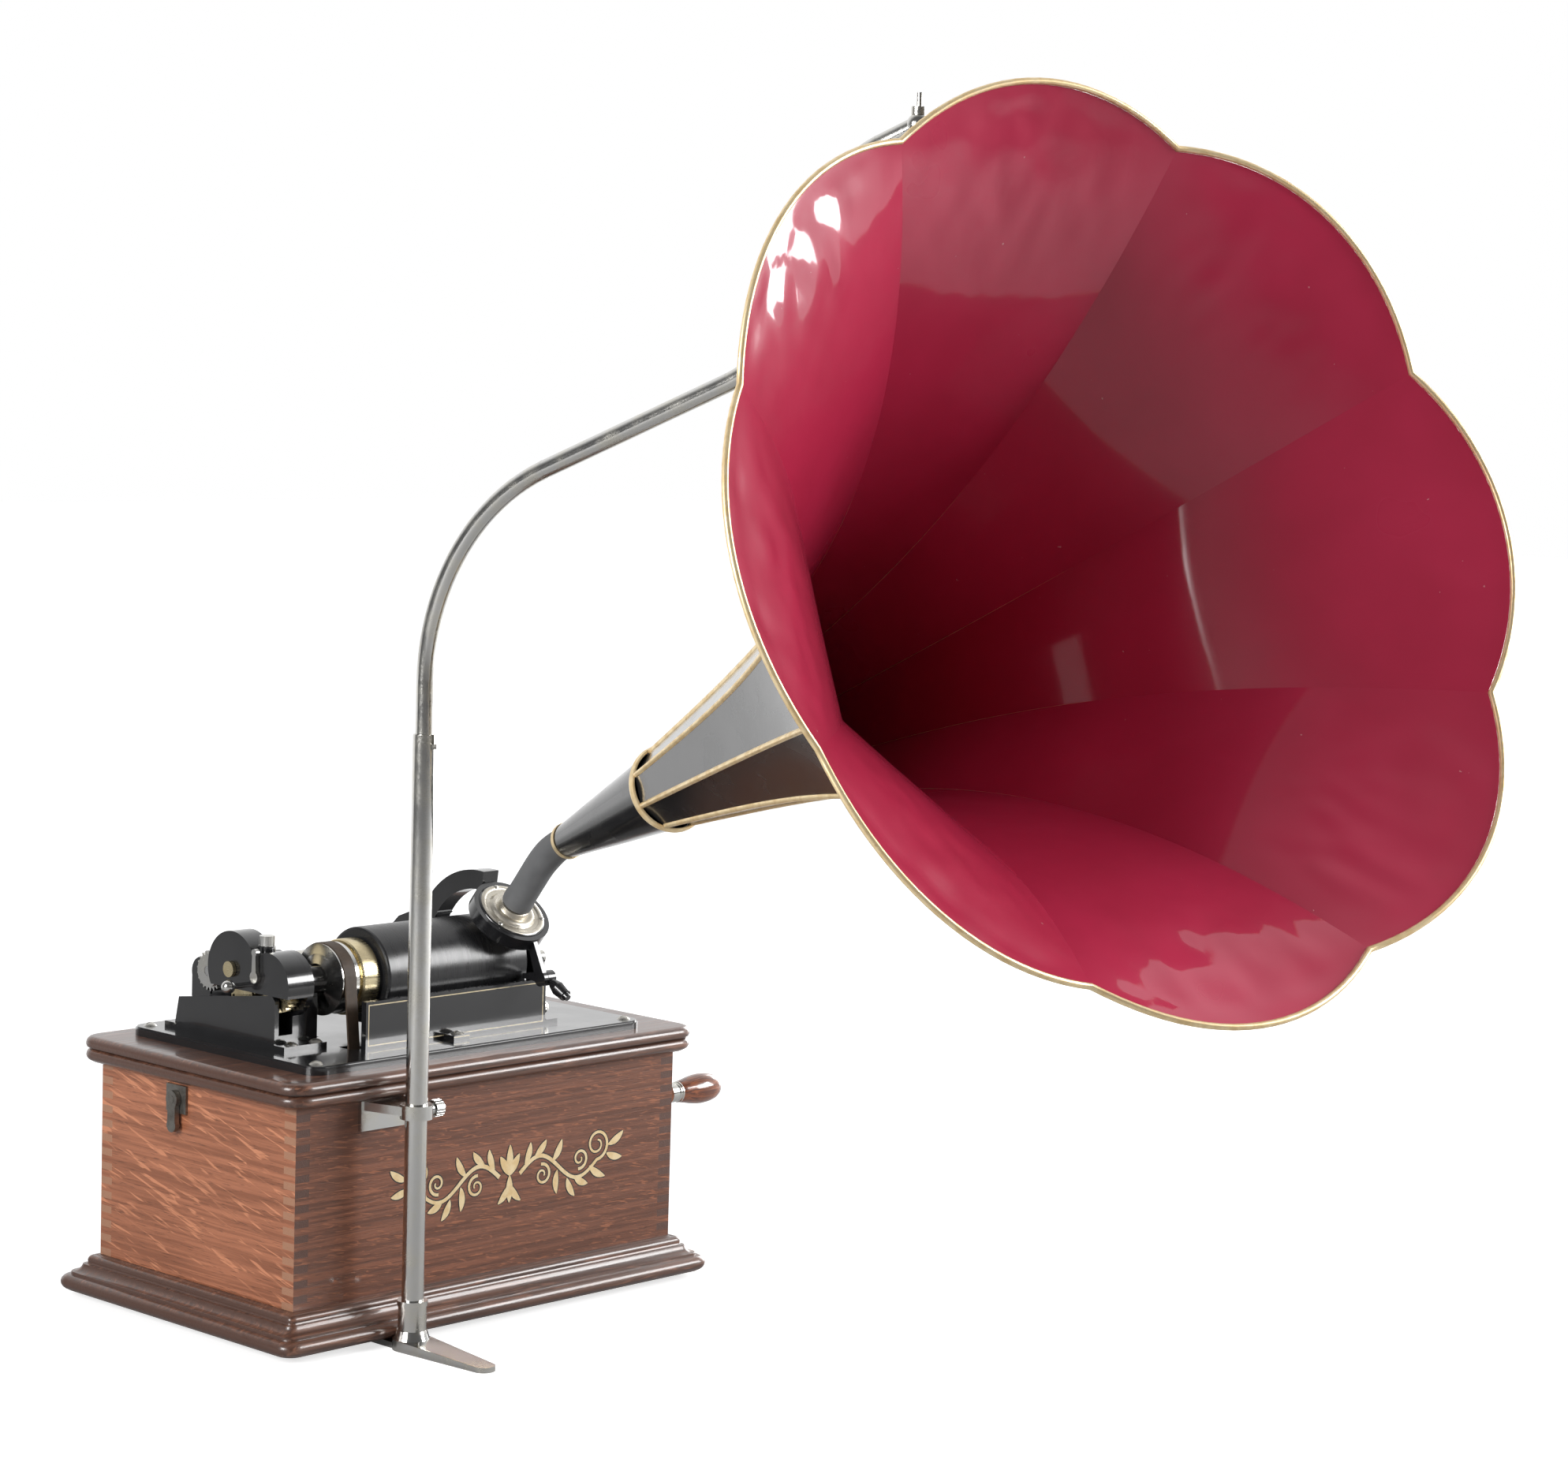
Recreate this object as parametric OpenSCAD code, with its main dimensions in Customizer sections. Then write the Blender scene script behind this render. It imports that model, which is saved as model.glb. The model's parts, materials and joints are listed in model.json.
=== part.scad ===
// Cylinder phonograph in an oak cabinet, with a panelled horn hung from a crane.
// Millimetres. +Z is up, +X runs right along the front and -Y is the front.
// The origin is the centre of the cabinet's footprint, on the table.

/* [Cabinet] */
// Width of the cabinet walls, left to right
body_w = 292; // [284:1:300]
// Depth of the cabinet walls, front to back
body_d = 177; // [172:1:184]
// Height of the cabinet walls
body_h = 114.5; // [112:0.5:124]
// Thickness of a wall board
wall_t = 10; // [8:0.5:12]
// Number of fingers in each corner joint, an odd number
fingers = 27; // [19:2:31]
// Height of the base moulding's top above the table
base_h = 25; // [21:1:29]
// Gap between the base moulding and the table
base_gap = 4; // [3.8:0.1:6]
// Stand-out of the base moulding from the walls
base_out = 19; // [15:0.5:22]
// Thickness of the bottom board
floor_t = 8; // [6:0.5:10]
// Thickness of the top board
lid_t = 15; // [12:0.5:18]
// Stand-out of the top board from the walls
lid_out = 11; // [8:0.5:14]
// Corner radius of the top board
lid_r = 14; // [8:1:18]

/* [Bedplate] */
// Width of the bedplate
bed_w = 256; // [250:1:264]
// Depth of the bedplate
bed_d = 169; // [164:1:174]
// Thickness of the bedplate
bed_t = 5; // [4:0.5:7]
// Height of the mandrel's axis above the bedplate
axis_h = 36.5; // [35:0.5:39]

/* [Mandrel] */
// Radius of the record
record_r = 27.8; // [26.5:0.1:28.5]
// Length of the record
record_l = 108; // [100:1:109]
// Radius of the mandrel at the pulley end
mandrel_r = 22; // [21:0.1:23]
// Radius of the mandrel at the gate end
mandrel_tip_r = 21; // [19.5:0.1:21]
// Radius of the mandrel's belt pulley
pulley_r = 20; // [18:0.5:21.5]
// Radius of the mandrel shaft
shaft_r = 3.5; // [3:0.1:4]
// Tooth count of the mandrel gear
mandrel_teeth = 30; // [26:1:32]
// Tooth count of the idler gear
idler_teeth = 36; // [34:1:38]
// Tooth count of the feed screw's gear
feed_teeth = 22; // [20:1:24]
// Radius of the feed screw
feed_r = 3.6; // [3:0.1:4.2]
// Radius of the carriage's guide rod
guide_r = 6; // [5:0.5:7]
// Height of the front plate above the bedplate
apron_h = 27.5; // [26:0.5:29]
// Thickness of the front plate
apron_t = 4; // [3:0.5:5]

/* [Carriage] */
// Tilt of the reproducer from upright, towards the front
tilt = 38; // [36:0.5:40]
// Radius of the reproducer
reproducer_r = 21.4; // [20:0.2:22]
// Wall of the carriage's eye round the reproducer
eye_wall = 3; // [2.5:0.25:4]
// Width of the carriage's arch along the mandrel
arch_w = 12; // [9:0.5:15]
// Outer radius of the rubber elbow
elbow_r = 9; // [8.4:0.1:9.2]
// Outer radius of the reproducer's neck
neck_r = 7; // [6:0.1:7.5]

/* [Horn] */
// Length of the horn along its axis
horn_l = 550; // [520:1:570]
// Length of the plain throat cone
throat_l = 117; // [105:1:130]
// Inner radius of the horn's small end
throat_r = 9.4; // [9.3:0.1:10.5]
// Radius of the throat cone where the panels start
panel_start_r = 23; // [20:0.5:26]
// Radius of the bell at the notches between panels
bell_r = 215; // [195:1:225]
// Thickness of the horn's sheet metal
sheet_t = 0.6; // [0.5:0.05:1]
// Stand-out of each panel's lobe at the rim, as a share of the bell's radius
lobe = 0.005; // [0:0.005:0.06]
// Rise of the horn's axis above level
horn_rise = 21.3; // [18:0.5:24]
// Turn of the horn's axis to the left of straight ahead
horn_turn = 13.1; // [8:0.5:16]
// Radius of the rim's rolled wire
rim_r = 1.6; // [1.2:0.1:2.2]

/* [Crane] */
// Radius of the lower tube
tube_r = 6.25; // [6.2:0.05:7.5]
// Radius of the upper rod
rod_r = 5; // [4:0.1:5.1]
// Height of the lower tube's top above the table
tube_top = 346; // [320:1:370]
// Height where the upper rod starts to bend
bend_z = 375; // [370:1:395]
// Radius of the upper rod's first bend
bend_r = 130; // [115:1:140]
// Radius of the crane's second and third bends
swan_r = 60; // [50:1:66]
// Thickness of the crane's foot
crane_foot_t = 3.4; // [3:0.1:4.5]

/* [Winding] */
// Length of the crank arm between centres
crank_l = 82; // [70:1:86]
// Length of the crank knob
knob_l = 38; // [32:1:42]
// Largest radius of the crank knob
knob_r = 9.3; // [8:0.1:10]
// Tooth count of the barrel's great wheel
great_teeth = 84; // [80:1:86]
// Tooth count of the motor shaft's pinion
pinion_teeth = 20; // [18:1:22]

/* [Hidden] */
$fn = 48;

// Clearances: a running fit, a fit between parts of one body, and free air
run = 0.05;
seat = 0.02;
air = 0.3;

// Levels
wall_z = base_h;
lid_z = wall_z + body_h;
bed_z = lid_z + lid_t;
deck = bed_z + bed_t;

// Footprints
front_y = -body_d / 2;
right_x = body_w / 2;
bed_x = -3;
rail_w = 10;
bed_corner_r = 10;

// Mandrel line
axis_y = -25;
axis_z = deck + axis_h;
record_x = -50;
mandrel_x = -52;
mandrel_end = 60;
collar_x = -64;
pulley_x = [-80, -66];
belt_w = 8;
belt_t = 1.2;
belt_x = (pulley_x[0] + pulley_x[1]) / 2;

// Gear train beside the mandrel, module 1
gear_x = [-110, -104];
feed_y = 36;
feed_z = axis_z;
guide_y = 54;
guide_z = axis_z - 4;
d_mandrel_idler = (mandrel_teeth + idler_teeth) / 2;
d_idler_feed = (idler_teeth + feed_teeth) / 2;
d_axes = feed_y - axis_y;
idler_dy = (pow(d_mandrel_idler, 2) - pow(d_idler_feed, 2) + pow(d_axes, 2)) / (2 * d_axes);
idler_y = axis_y + idler_dy;
idler_z = axis_z + sqrt(pow(d_mandrel_idler, 2) - pow(idler_dy, 2));

// Gear housing
housing_x = [-115, -84];
housing_wall = 3;
web_x = -102;
housing_y = [-30, 62];
housing_top = [deck + 31, deck + 19];
cover_gap = 1.4;
cover_t = 1.6;

// Front plate and gate
apron_x = [-73, 66];
apron_y = -60;
gate_x = 69;
gate_t = 5;
hinge_y = 16;
hinge_z = [deck + 12, deck + 29];
gate_front = -52;

// Carriage, in a frame whose Z runs from the mandrel's axis through the reproducer
carriage_x = 46.5;
eye_z = [32.5, 40.5];
arch_r = [42.5, 54];
sleeve_x = [14, 56.5];
sleeve_wall = 1.8;
knuckle_r = guide_r + sleeve_wall + 2;
eye_r = reproducer_r + 0.1 + eye_wall;
neck_top = 56;
elbow_start = 47;
bend_at = 90.8;
elbow_end = 22;

// Lift lever, pivoted on a lug that stands out from the eye
lever_x = [51, 57];
lever_pivot = [apron_y - 14, deck + 31];
lever_gap = 0.8;
function tilt_yz(a, b) = [axis_y + a * cos(tilt) - b * sin(tilt), axis_z + a * sin(tilt) + b * cos(tilt)];
lug_foot = [tilt_yz(-eye_r + 1.5, eye_z[1] - 1), tilt_yz(-eye_r + 1.5, eye_z[0] + 1)];

// Motor, below the bedplate
motor_y = axis_y - 5;
motor_z = deck - 51.5;
motor_pulley_r = 24;
frame_x = [-64, 46];
frame_t = 4;
d_great = (great_teeth + pinion_teeth) / 2;
great_dir = [0.8867, -0.4624];
barrel_y = motor_y + d_great * great_dir[0];
barrel_z = motor_z + d_great * great_dir[1];
barrel_r = 35;
barrel_x = [-46, 10];
great_x = [-57, -50];
wheel_teeth = 52;
gov_teeth = 12;
wheel_x = [20, 25];
gov_dir = [-0.6, -0.8];
gov_y = motor_y + gov_dir[0] * (wheel_teeth + gov_teeth) / 2;
gov_z = motor_z + gov_dir[1] * (wheel_teeth + gov_teeth) / 2;
arbor_teeth = 26;
wind_teeth = 14;
wind_x = [32, 38];
crank_dir = [0.0998, 0.995];
crank_y = barrel_y + crank_dir[0] * (arbor_teeth + wind_teeth) / 2;
crank_z = barrel_z + crank_dir[1] * (arbor_teeth + wind_teeth) / 2;
crank_r = 4;
arm_x = right_x + base_out + 2;

// Crane
crane_x = -84.5;
crane_y = front_y - base_out - 10.5;
crane_notch = 8;
swan_up = 67.5;
swan_fwd = 22.5;
swan_run = 130;
swan_rise = 60;
chain_links = 12;
link_wire = 0.7;

// Helpers: prisms and rods along an axis; a prism's children are drawn in the other two axes
module x_prism(x) { translate([x[0], 0, 0]) rotate([90, 0, 90]) linear_extrude(x[1] - x[0]) children(); }
module y_prism(y) { translate([0, y[1], 0]) rotate([90, 0, 0]) linear_extrude(y[1] - y[0]) children(); }
module x_rod(x, r, y, z) { translate([x[0], y, z]) rotate([0, 90, 0]) cylinder(r = r, h = x[1] - x[0]); }
module y_rod(y, r, x, z) { translate([x, y[1], z]) rotate([90, 0, 0]) cylinder(r = r, h = y[1] - y[0]); }
module z_rod(z, r, x, y) { translate([x, y, z[0]]) cylinder(r = r, h = z[1] - z[0]); }
module box(x, y, z) { translate([x[0], y[0], z[0]]) cube([x[1] - x[0], y[1] - y[0], z[1] - z[0]]); }
module round_rect(w, d, r) {
    square([w - 2 * r, d], center = true);
    square([w, d - 2 * r], center = true);
    for (x = [-1, 1], y = [-1, 1]) translate([x * (w / 2 - r), y * (d / 2 - r)]) circle(r);
}

// A moulding round a rectangle: its half-profile, as [stand-out, height], mitred at the corners
function both_sides(half, profile) = concat(
    [for (p = profile) [half + p[0], p[1]]],
    [for (i = [len(profile) - 1:-1:0]) [-half - profile[i][0], profile[i][1]]]);
module moulded_block(w, d, profile, reach) {
    intersection() {
        x_prism([-w / 2 - reach, w / 2 + reach]) polygon(both_sides(d / 2, profile));
        y_prism([-d / 2 - reach, d / 2 + reach]) polygon(both_sides(w / 2, profile));
    }
}

// A spur gear of module 1 in the plane, with a tooth on the line at angle a
root = 1.2;
tip = 0.85;
function tooth(n, k, a) = let (c = a + k * 360 / n, r = n / 2)
    [for (p = [[r - root, -1.05], [r + tip, -0.36], [r + tip, 0.36], [r - root, 1.05]])
        let (b = c + p[1] / p[0] * 180 / PI) p[0] * [cos(b), sin(b)]];
module gear_2d(n, a) { polygon([for (k = [0:n - 1]) each tooth(n, k, a)]); }
module x_gear(x, n, a, y, z) { translate([0, y, z]) x_prism(x) gear_2d(n, a); }
// Tooth angle of a gear of n teeth that meshes with one of m teeth at tooth angle a, in direction b
function mesh(a, m, b, n) = let (f = (b - a) * m / 360) b + 180 - (0.5 - f) * 360 / n;
function heading(p, q) = atan2(q[1] - p[1], q[0] - p[0]);

// Cabinet
base_run = base_h - base_gap;
base_profile = [for (p = [[0.5, 0], [0.8, 0.05], [0.95, 0.15], [1, 0.28], [0.97, 0.4], [0.86, 0.48], [0.84, 0.56],
    [0.74, 0.66], [0.55, 0.78], [0.32, 0.88], [0.2, 0.91], [0.2, 0.95], [0.02, 1]])
    [p[0] * base_out, base_gap + p[1] * base_run]];
lid_profile = [for (p = [[0.5, 0], [0.68, 0.14], [0.92, 0.3], [1, 0.5], [1, 0.72], [0.92, 0.88], [0.74, 1]])
    [p[0] * lid_out, p[1] * lid_t]];
module base_moulding() color("#6b3d1c") difference() {
    moulded_block(body_w, body_d, base_profile, base_out);
    box([-right_x + 2 * rail_w, right_x - 2 * rail_w], [front_y + 2 * rail_w, -front_y - 2 * rail_w], [-1, base_h + 1]);
}
// The bottom board reaches the table, so the cabinet stands on it
module bottom_board() color("#7a4a26")
    box([-right_x + 2 * rail_w + seat, right_x - 2 * rail_w - seat],
        [front_y + 2 * rail_w + seat, -front_y - 2 * rail_w - seat], [0, floor_t]);
finger_h = body_h / fingers;
module finger_slots(first, side) {
    for (k = [first:2:fingers - 1], s = [-1, 1])
        if (side == "front")
            box(s < 0 ? [-right_x - 1, -right_x + wall_t] : [right_x - wall_t, right_x + 1], [front_y - 1, -front_y + 1],
                [wall_z + k * finger_h, wall_z + (k + 1) * finger_h]);
        else
            box([-right_x - 1, right_x + 1], s < 0 ? [front_y - 1, front_y + wall_t] : [-front_y - wall_t, -front_y + 1],
                [wall_z + k * finger_h, wall_z + (k + 1) * finger_h]);
}
module long_wall() difference() {
    box([-right_x, right_x], [front_y, front_y + wall_t], [wall_z, lid_z]);
    finger_slots(1, "front");
}
module short_wall() difference() {
    box([right_x - wall_t, right_x], [front_y, -front_y], [wall_z, lid_z]);
    finger_slots(0, "side");
}
module front_wall() color("#8a5327") long_wall();
module back_wall() color("#8a5327") mirror([0, 1, 0]) long_wall();
module left_wall() color("#8a5327") mirror([1, 0, 0]) short_wall();
module right_wall() color("#8a5327") difference() {
    short_wall();
    x_rod([right_x - wall_t - 1, right_x + 1], crank_r + 2, crank_y, crank_z);
}

// Opening in the top board for the motor, under the bedplate
well_x = [-92, 72];
well_y = [-70, 70];
module top_board() color("#6f4120") difference() {
    intersection() {
        translate([0, 0, lid_z]) moulded_block(body_w, body_d, lid_profile, lid_out);
        translate([0, 0, lid_z]) linear_extrude(lid_t) round_rect(body_w + 2 * lid_out, body_d + 2 * lid_out, lid_r);
    }
    box(well_x, well_y, [lid_z - 1, bed_z + 1]);
    for (p = bed_screws) z_rod([bed_z - screw_l, bed_z + 1], screw_r + seat, p[0], p[1]);
}

// Rear hinges: a leaf under the top board's edge and a leaf on the back wall, at each end
hinge_l = 40;
module rear_hinges() color("#b58a3c") for (x = [-90, 90]) {
    box([x - hinge_l / 2, x + hinge_l / 2], [-front_y, -front_y + 1.5], [lid_z - 22, lid_z - 2]);
    x_rod([x - hinge_l / 2, x + hinge_l / 2], 2.2, -front_y + 2.4, lid_z - 2.4);
    for (s = [-12, 12]) y_rod([-front_y + 1.4, -front_y + 2.3], 2.4, x + s, lid_z - 13);
}

// Catch on the left wall: a plate with a turning tab
catch_y = 17;
catch_z = lid_z - 11;
catch_x = [-right_x - 5, -right_x - 1.6 - air];
module catch_plate() color("#b9b4a8") {
    box([-right_x - 1.6, -right_x], [catch_y - 9, catch_y + 9], [catch_z - 8, catch_z + 8]);
    x_rod([-right_x - 5.2, -right_x - 1.6], 2.2, catch_y, catch_z);
}
module catch_lever() color("#c9c5ba") difference() {
    union() {
        x_rod(catch_x, 5, catch_y, catch_z);
        box(catch_x, [catch_y - 3.4, catch_y + 3.4], [catch_z - 15, catch_z]);
        x_rod(catch_x, 4, catch_y, catch_z - 15);
    }
    x_rod([-right_x - 6, -right_x], 2.2 + run, catch_y, catch_z);
}
module crank_escutcheon() color("#b58a3c") difference() {
    x_rod([right_x, right_x + 2], 13, crank_y, crank_z);
    x_rod([right_x - 1, right_x + 3], crank_r + run, crank_y, crank_z);
}

// Bedplate and its screws
screw_r = 2;
screw_l = 12;
head_r = 4;
head_h = 2;
bed_screws = [for (x = [-1, 1], y = [-1, 1]) [bed_x + x * (bed_w / 2 - 9), y * (bed_d / 2 - 9)]];
foot_screws = [[housing_x[0] + 8, housing_y[0] - 5], [housing_x[1] - 5, housing_y[0] - 5], [housing_x[0] + 15, housing_y[1] + 5],
    [-8, apron_y - 5], [69, 70]];
module bedplate() color("#2a2c2e") difference() {
    union() {
        translate([bed_x, 0, bed_z]) linear_extrude(bed_t - 1) round_rect(bed_w, bed_d, bed_corner_r);
        translate([bed_x, 0, bed_z]) linear_extrude(bed_t) round_rect(bed_w - 2, bed_d - 2, bed_corner_r - 1);
    }
    for (s = belt_sides) box([pulley_x[0] + 1, pulley_x[1] - 1], [s - 6, s + 6], [bed_z - 1, deck + 1]);
    for (p = bed_screws) z_rod([bed_z - 1, deck + 1], screw_r + seat, p[0], p[1]);
    for (p = foot_screws) z_rod([bed_z - 1, deck + 1], screw_r + seat, p[0], p[1]);
}
module screw(p, z, l) {
    z_rod([z - l, z + 0.5], screw_r, p[0], p[1]);
    difference() {
        translate([p[0], p[1], z]) intersection() {
            translate([0, 0, head_h - 5]) sphere(5);
            cylinder(r = head_r, h = head_h);
        }
        box([p[0] - head_r, p[0] + head_r], [p[1] - 0.4, p[1] + 0.4], [z + head_h - 0.8, z + head_h + 1]);
    }
}
module machine_screws() color("#b9bcc0") {
    for (p = bed_screws) screw(p, deck, bed_t + screw_l - 0.2);
    for (p = foot_screws) screw(p, deck + flange_t, flange_t + bed_t);
}

// Gear housing: a block with a slot for the gears, bearings and a flange at its foot
flange_t = 3;
function housing_side(drop) = [[housing_y[0], deck], [housing_y[1], deck], [housing_y[1] - 4, housing_top[1] - drop],
    [housing_y[0] + 3, housing_top[0] - drop], [housing_y[0], housing_top[0] - drop - 3]];
module lug(x, r, y, z) {
    x_rod(x, r, y, z);
    box(x, [y - r + 0.3, y + r - 0.3], [deck, z]);
}
module gear_housing() color("#232527") difference() {
    union() {
        x_prism(housing_x) polygon(housing_side(0));
        lug([web_x, housing_x[1]], 9, axis_y + 4, axis_z);
        x_rod([web_x, housing_x[1] + 3], 8, axis_y, axis_z);
        x_rod([web_x, web_x + 4], mandrel_teeth / 2 + cover_gap + tip + cover_t, axis_y, axis_z);
        lug([web_x, housing_x[1] + 2], 8, idler_y, idler_z);
        lug([web_x, housing_x[1]], 8, feed_y, feed_z);
        lug([web_x, housing_x[1]], guide_r + 3, guide_y, guide_z);
        box([housing_x[0], housing_x[1]], [housing_y[0] - 9, housing_y[0] + 1], [deck, deck + flange_t]);
        box([housing_x[0], housing_x[1]], [housing_y[1] - 1, housing_y[1] + 9], [deck, deck + flange_t]);
    }
    box([housing_x[0] + housing_wall, web_x], [housing_y[0] - 10, housing_y[1] + 20], [deck + 8, axis_z + 60]);
    x_rod([web_x - 1, housing_x[1] + 9], shaft_r + run, axis_y, axis_z);
    x_rod([web_x - 1, housing_x[1] - 3], idler_pin_r + run, idler_y, idler_z);
    x_rod([web_x - 1, housing_x[1] + 9], feed_r + run, feed_y, feed_z);
    x_rod([housing_x[1] - 8, housing_x[1] + 9], guide_r + seat, guide_y, guide_z);
    for (p = foot_screws) z_rod([deck - 1, deck + 20], screw_r + seat, p[0], p[1]);
}
// The cover is a drum over the mandrel gear and a larger one over the idler, open below and to the right
cover_r = [mandrel_teeth / 2 + tip + cover_gap, idler_teeth / 2 + tip + cover_gap];
cover_foot = housing_top[0];
cover_y = axis_y - cover_r[0] - cover_t;
module cover_outline(grow) {
    translate([axis_y, axis_z]) circle(cover_r[0] + grow);
    translate([idler_y, idler_z]) circle(cover_r[1] + grow);
}
screw_at = [(housing_x[0] + web_x) / 2, axis_y + 11];
screw_z = idler_z + cover_r[1] - 5;
module gear_cover() color("#1d1f21") difference() {
    union() {
        x_prism([housing_x[0] - cover_t, web_x - 0.1]) cover_outline(cover_t);
        z_rod([axis_z, screw_z], 5, screw_at[0], screw_at[1]);
    }
    x_prism([housing_x[0], web_x + 1]) cover_outline(0);
    box([housing_x[0] - 5, web_x + 1], [cover_y - 20, 90], [deck - 1, cover_foot]);
    x_rod([housing_x[0], web_x + 1], feed_teeth / 2 + tip + cover_gap, feed_y, feed_z);
    x_rod([housing_x[0] - 5, housing_x[0] + 1], idler_pin_r + run, idler_y, idler_z);
    x_rod([housing_x[0] - 5, housing_x[0] + 1], 1.6 + run, knob_at[0], knob_at[1]);
    x_rod([housing_x[0] - 5, housing_x[0] - 0.2], 2 + run, lever_at[0], lever_at[1]);
    z_rod([axis_z, screw_z + 1], 2 + run, screw_at[0], screw_at[1]);
}
knob_at = [axis_y + 22, deck + 34];
module shift_knob() color("#d9dadc") {
    x_rod([housing_x[0] - 10, gear_x[0] - 0.8], 1.6, knob_at[0], knob_at[1]);
    translate([housing_x[0] - 12, knob_at[0], knob_at[1]]) rotate([0, 90, 0]) sphere(4);
}
lever_at = [axis_y + 9, axis_z + 4];
module start_lever() color("#c9ccd0") {
    x_rod([housing_x[0] - 4.5, housing_x[0] - 0.4], 2, lever_at[0], lever_at[1]);
    x_prism([housing_x[0] - 4.5, housing_x[0] - cover_t - air]) {
        translate(lever_at) circle(3.4);
        polygon([[lever_at[0] - 2, lever_at[1]], [lever_at[0] + 2, lever_at[1]], [lever_at[0] + 1.4, lever_at[1] + 14],
            [lever_at[0] - 1.4, lever_at[1] + 14]]);
        translate([lever_at[0], lever_at[1] + 14]) circle(2.2);
    }
}
module speed_screw() color("#c9ccd0") {
    z_rod([screw_z - 4, screw_z + 5], 2, screw_at[0], screw_at[1]);
    difference() {
        z_rod([screw_z + air, screw_z + 6], 4.4, screw_at[0], screw_at[1]);
        for (k = [0:15]) translate([screw_at[0], screw_at[1], 0]) rotate(k * 22.5)
            z_rod([screw_z, screw_z + 7], 0.35, 4.5, 0);
    }
}

// Right-hand post: carries the feed screw, the guide rod and the gate's hinge
post_x = [60, 78];
hinge_pin_r = 2;
module right_post() color("#232527") difference() {
    union() {
        lug(post_x, 8, feed_y, feed_z);
        lug(post_x, guide_r + 3.5, guide_y, guide_z);
        box(post_x, [feed_y, guide_y], [deck, feed_z]);
        box([post_x[0] - 3, post_x[1] + 3], [feed_y - 8, guide_y + 22], [deck, deck + flange_t]);
        for (z = [[hinge_z[0] - 5, hinge_z[0]], [hinge_z[1], hinge_z[1] + 5]]) {
            z_rod(z, 5.5, gate_x, hinge_y);
            box([gate_x - 4, gate_x + 4], [hinge_y, feed_y], z);
        }
    }
    z_rod([hinge_z[0] - 6, hinge_z[1] + 6], hinge_pin_r + run, gate_x, hinge_y);
    x_rod([post_x[0] - 1, post_x[1] - 3], feed_r + run, feed_y, feed_z);
    x_rod([post_x[0] - 1, post_x[1] + 1], guide_r + seat, guide_y, guide_z);
    for (p = foot_screws) z_rod([deck - 1, deck + 20], screw_r + seat, p[0], p[1]);
}
module guide_rod() color("#c3c6ca") {
    x_rod([housing_x[1] - 7.8, post_x[1] + 3], guide_r, guide_y, guide_z);
    x_rod([post_x[1] + 0.1, post_x[1] + 4], guide_r + 2, guide_y, guide_z);
}

// Front plate, with a foot flange at each end of its back and a post that the gate rests against
module apron() color("#17191a") difference() {
    union() {
        box(apron_x, [apron_y, apron_y + apron_t], [deck, deck + apron_h]);
        for (x = [apron_x[0] + 8, apron_x[1] - 16]) box([x, x + 8], [apron_y + apron_t - 1, apron_y + apron_t + 4], [deck, deck + 5]);
        box([-14, -2], [apron_y - 9, apron_y + 1], [deck, deck + flange_t]);
        gate_post();
    }
    z_rod([deck - 1, deck + 20], screw_r + seat, foot_screws[3][0], foot_screws[3][1]);
}

// Gate: an arm with a boss for the mandrel's centre, a foot at the front and a knuckle on the hinge pin
post_gap = 0.3;
module gate_post() {
    box([gate_x - 10, gate_x - gate_t / 2 - post_gap], [apron_y + 1, gate_front + 6], [deck, deck + 20]);
    x_rod([gate_x - 10, gate_x - gate_t / 2 - post_gap], 4, (apron_y + apron_t + gate_front + 6) / 2, deck + 20);
    box([gate_x - 10, gate_x + 8], [apron_y + 1, gate_front + 6], [deck, deck + 2.4]);
}
latch_at = [gate_front + 6, deck + 38];
module end_gate() color("#1d1f21") {
    difference() {
        union() {
            x_prism([gate_x - gate_t / 2, gate_x + gate_t / 2]) {
                translate([axis_y, axis_z]) circle(11);
                polygon([[hinge_y - 3, hinge_z[0] + 1], [hinge_y - 3, hinge_z[1] - 1], [hinge_y - 8, hinge_z[1] - 1],
                    [axis_y + 4, axis_z + 10], [axis_y, axis_z + 11],
                    [latch_at[0], latch_at[1] + 4], [gate_front, latch_at[1]], [gate_front, deck + 3],
                    [gate_front + 9, deck + 3], [gate_front + 10, deck + 14], [axis_y, deck + 14]]);
            }
            z_rod([hinge_z[0] + air, hinge_z[1] - air], 5.5, gate_x, hinge_y);
            x_rod([gate_x - gate_t / 2 - 2.5, gate_x + gate_t / 2 + 2], 6.5, axis_y, axis_z);
        }
        x_prism([gate_x - gate_t, gate_x + gate_t]) {
            translate([gate_front + 13.5, deck + 31]) circle(3.4);
            translate([gate_front + 10.1, deck + 23]) square([6.8, 8]);
        }
    }
    z_rod([hinge_z[0] - 5.2, hinge_z[1] + 5.4], hinge_pin_r, gate_x, hinge_y);
    z_rod([hinge_z[1] + 5.3, hinge_z[1] + 8], 3.2, gate_x, hinge_y);
    translate([mandrel_end - 1.4, axis_y, axis_z]) rotate([0, 90, 0]) cylinder(r1 = 1, r2 = 2.4, h = 3);
    x_rod([mandrel_end + 1.6, gate_x], 2.4, axis_y, axis_z);
    x_rod([gate_x + gate_t / 2 + 1, gate_x + 11], 3.4, axis_y, axis_z);
    x_rod([gate_x, gate_x + gate_t / 2 + 5], 1.8, latch_at[0], latch_at[1]);
}
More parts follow.
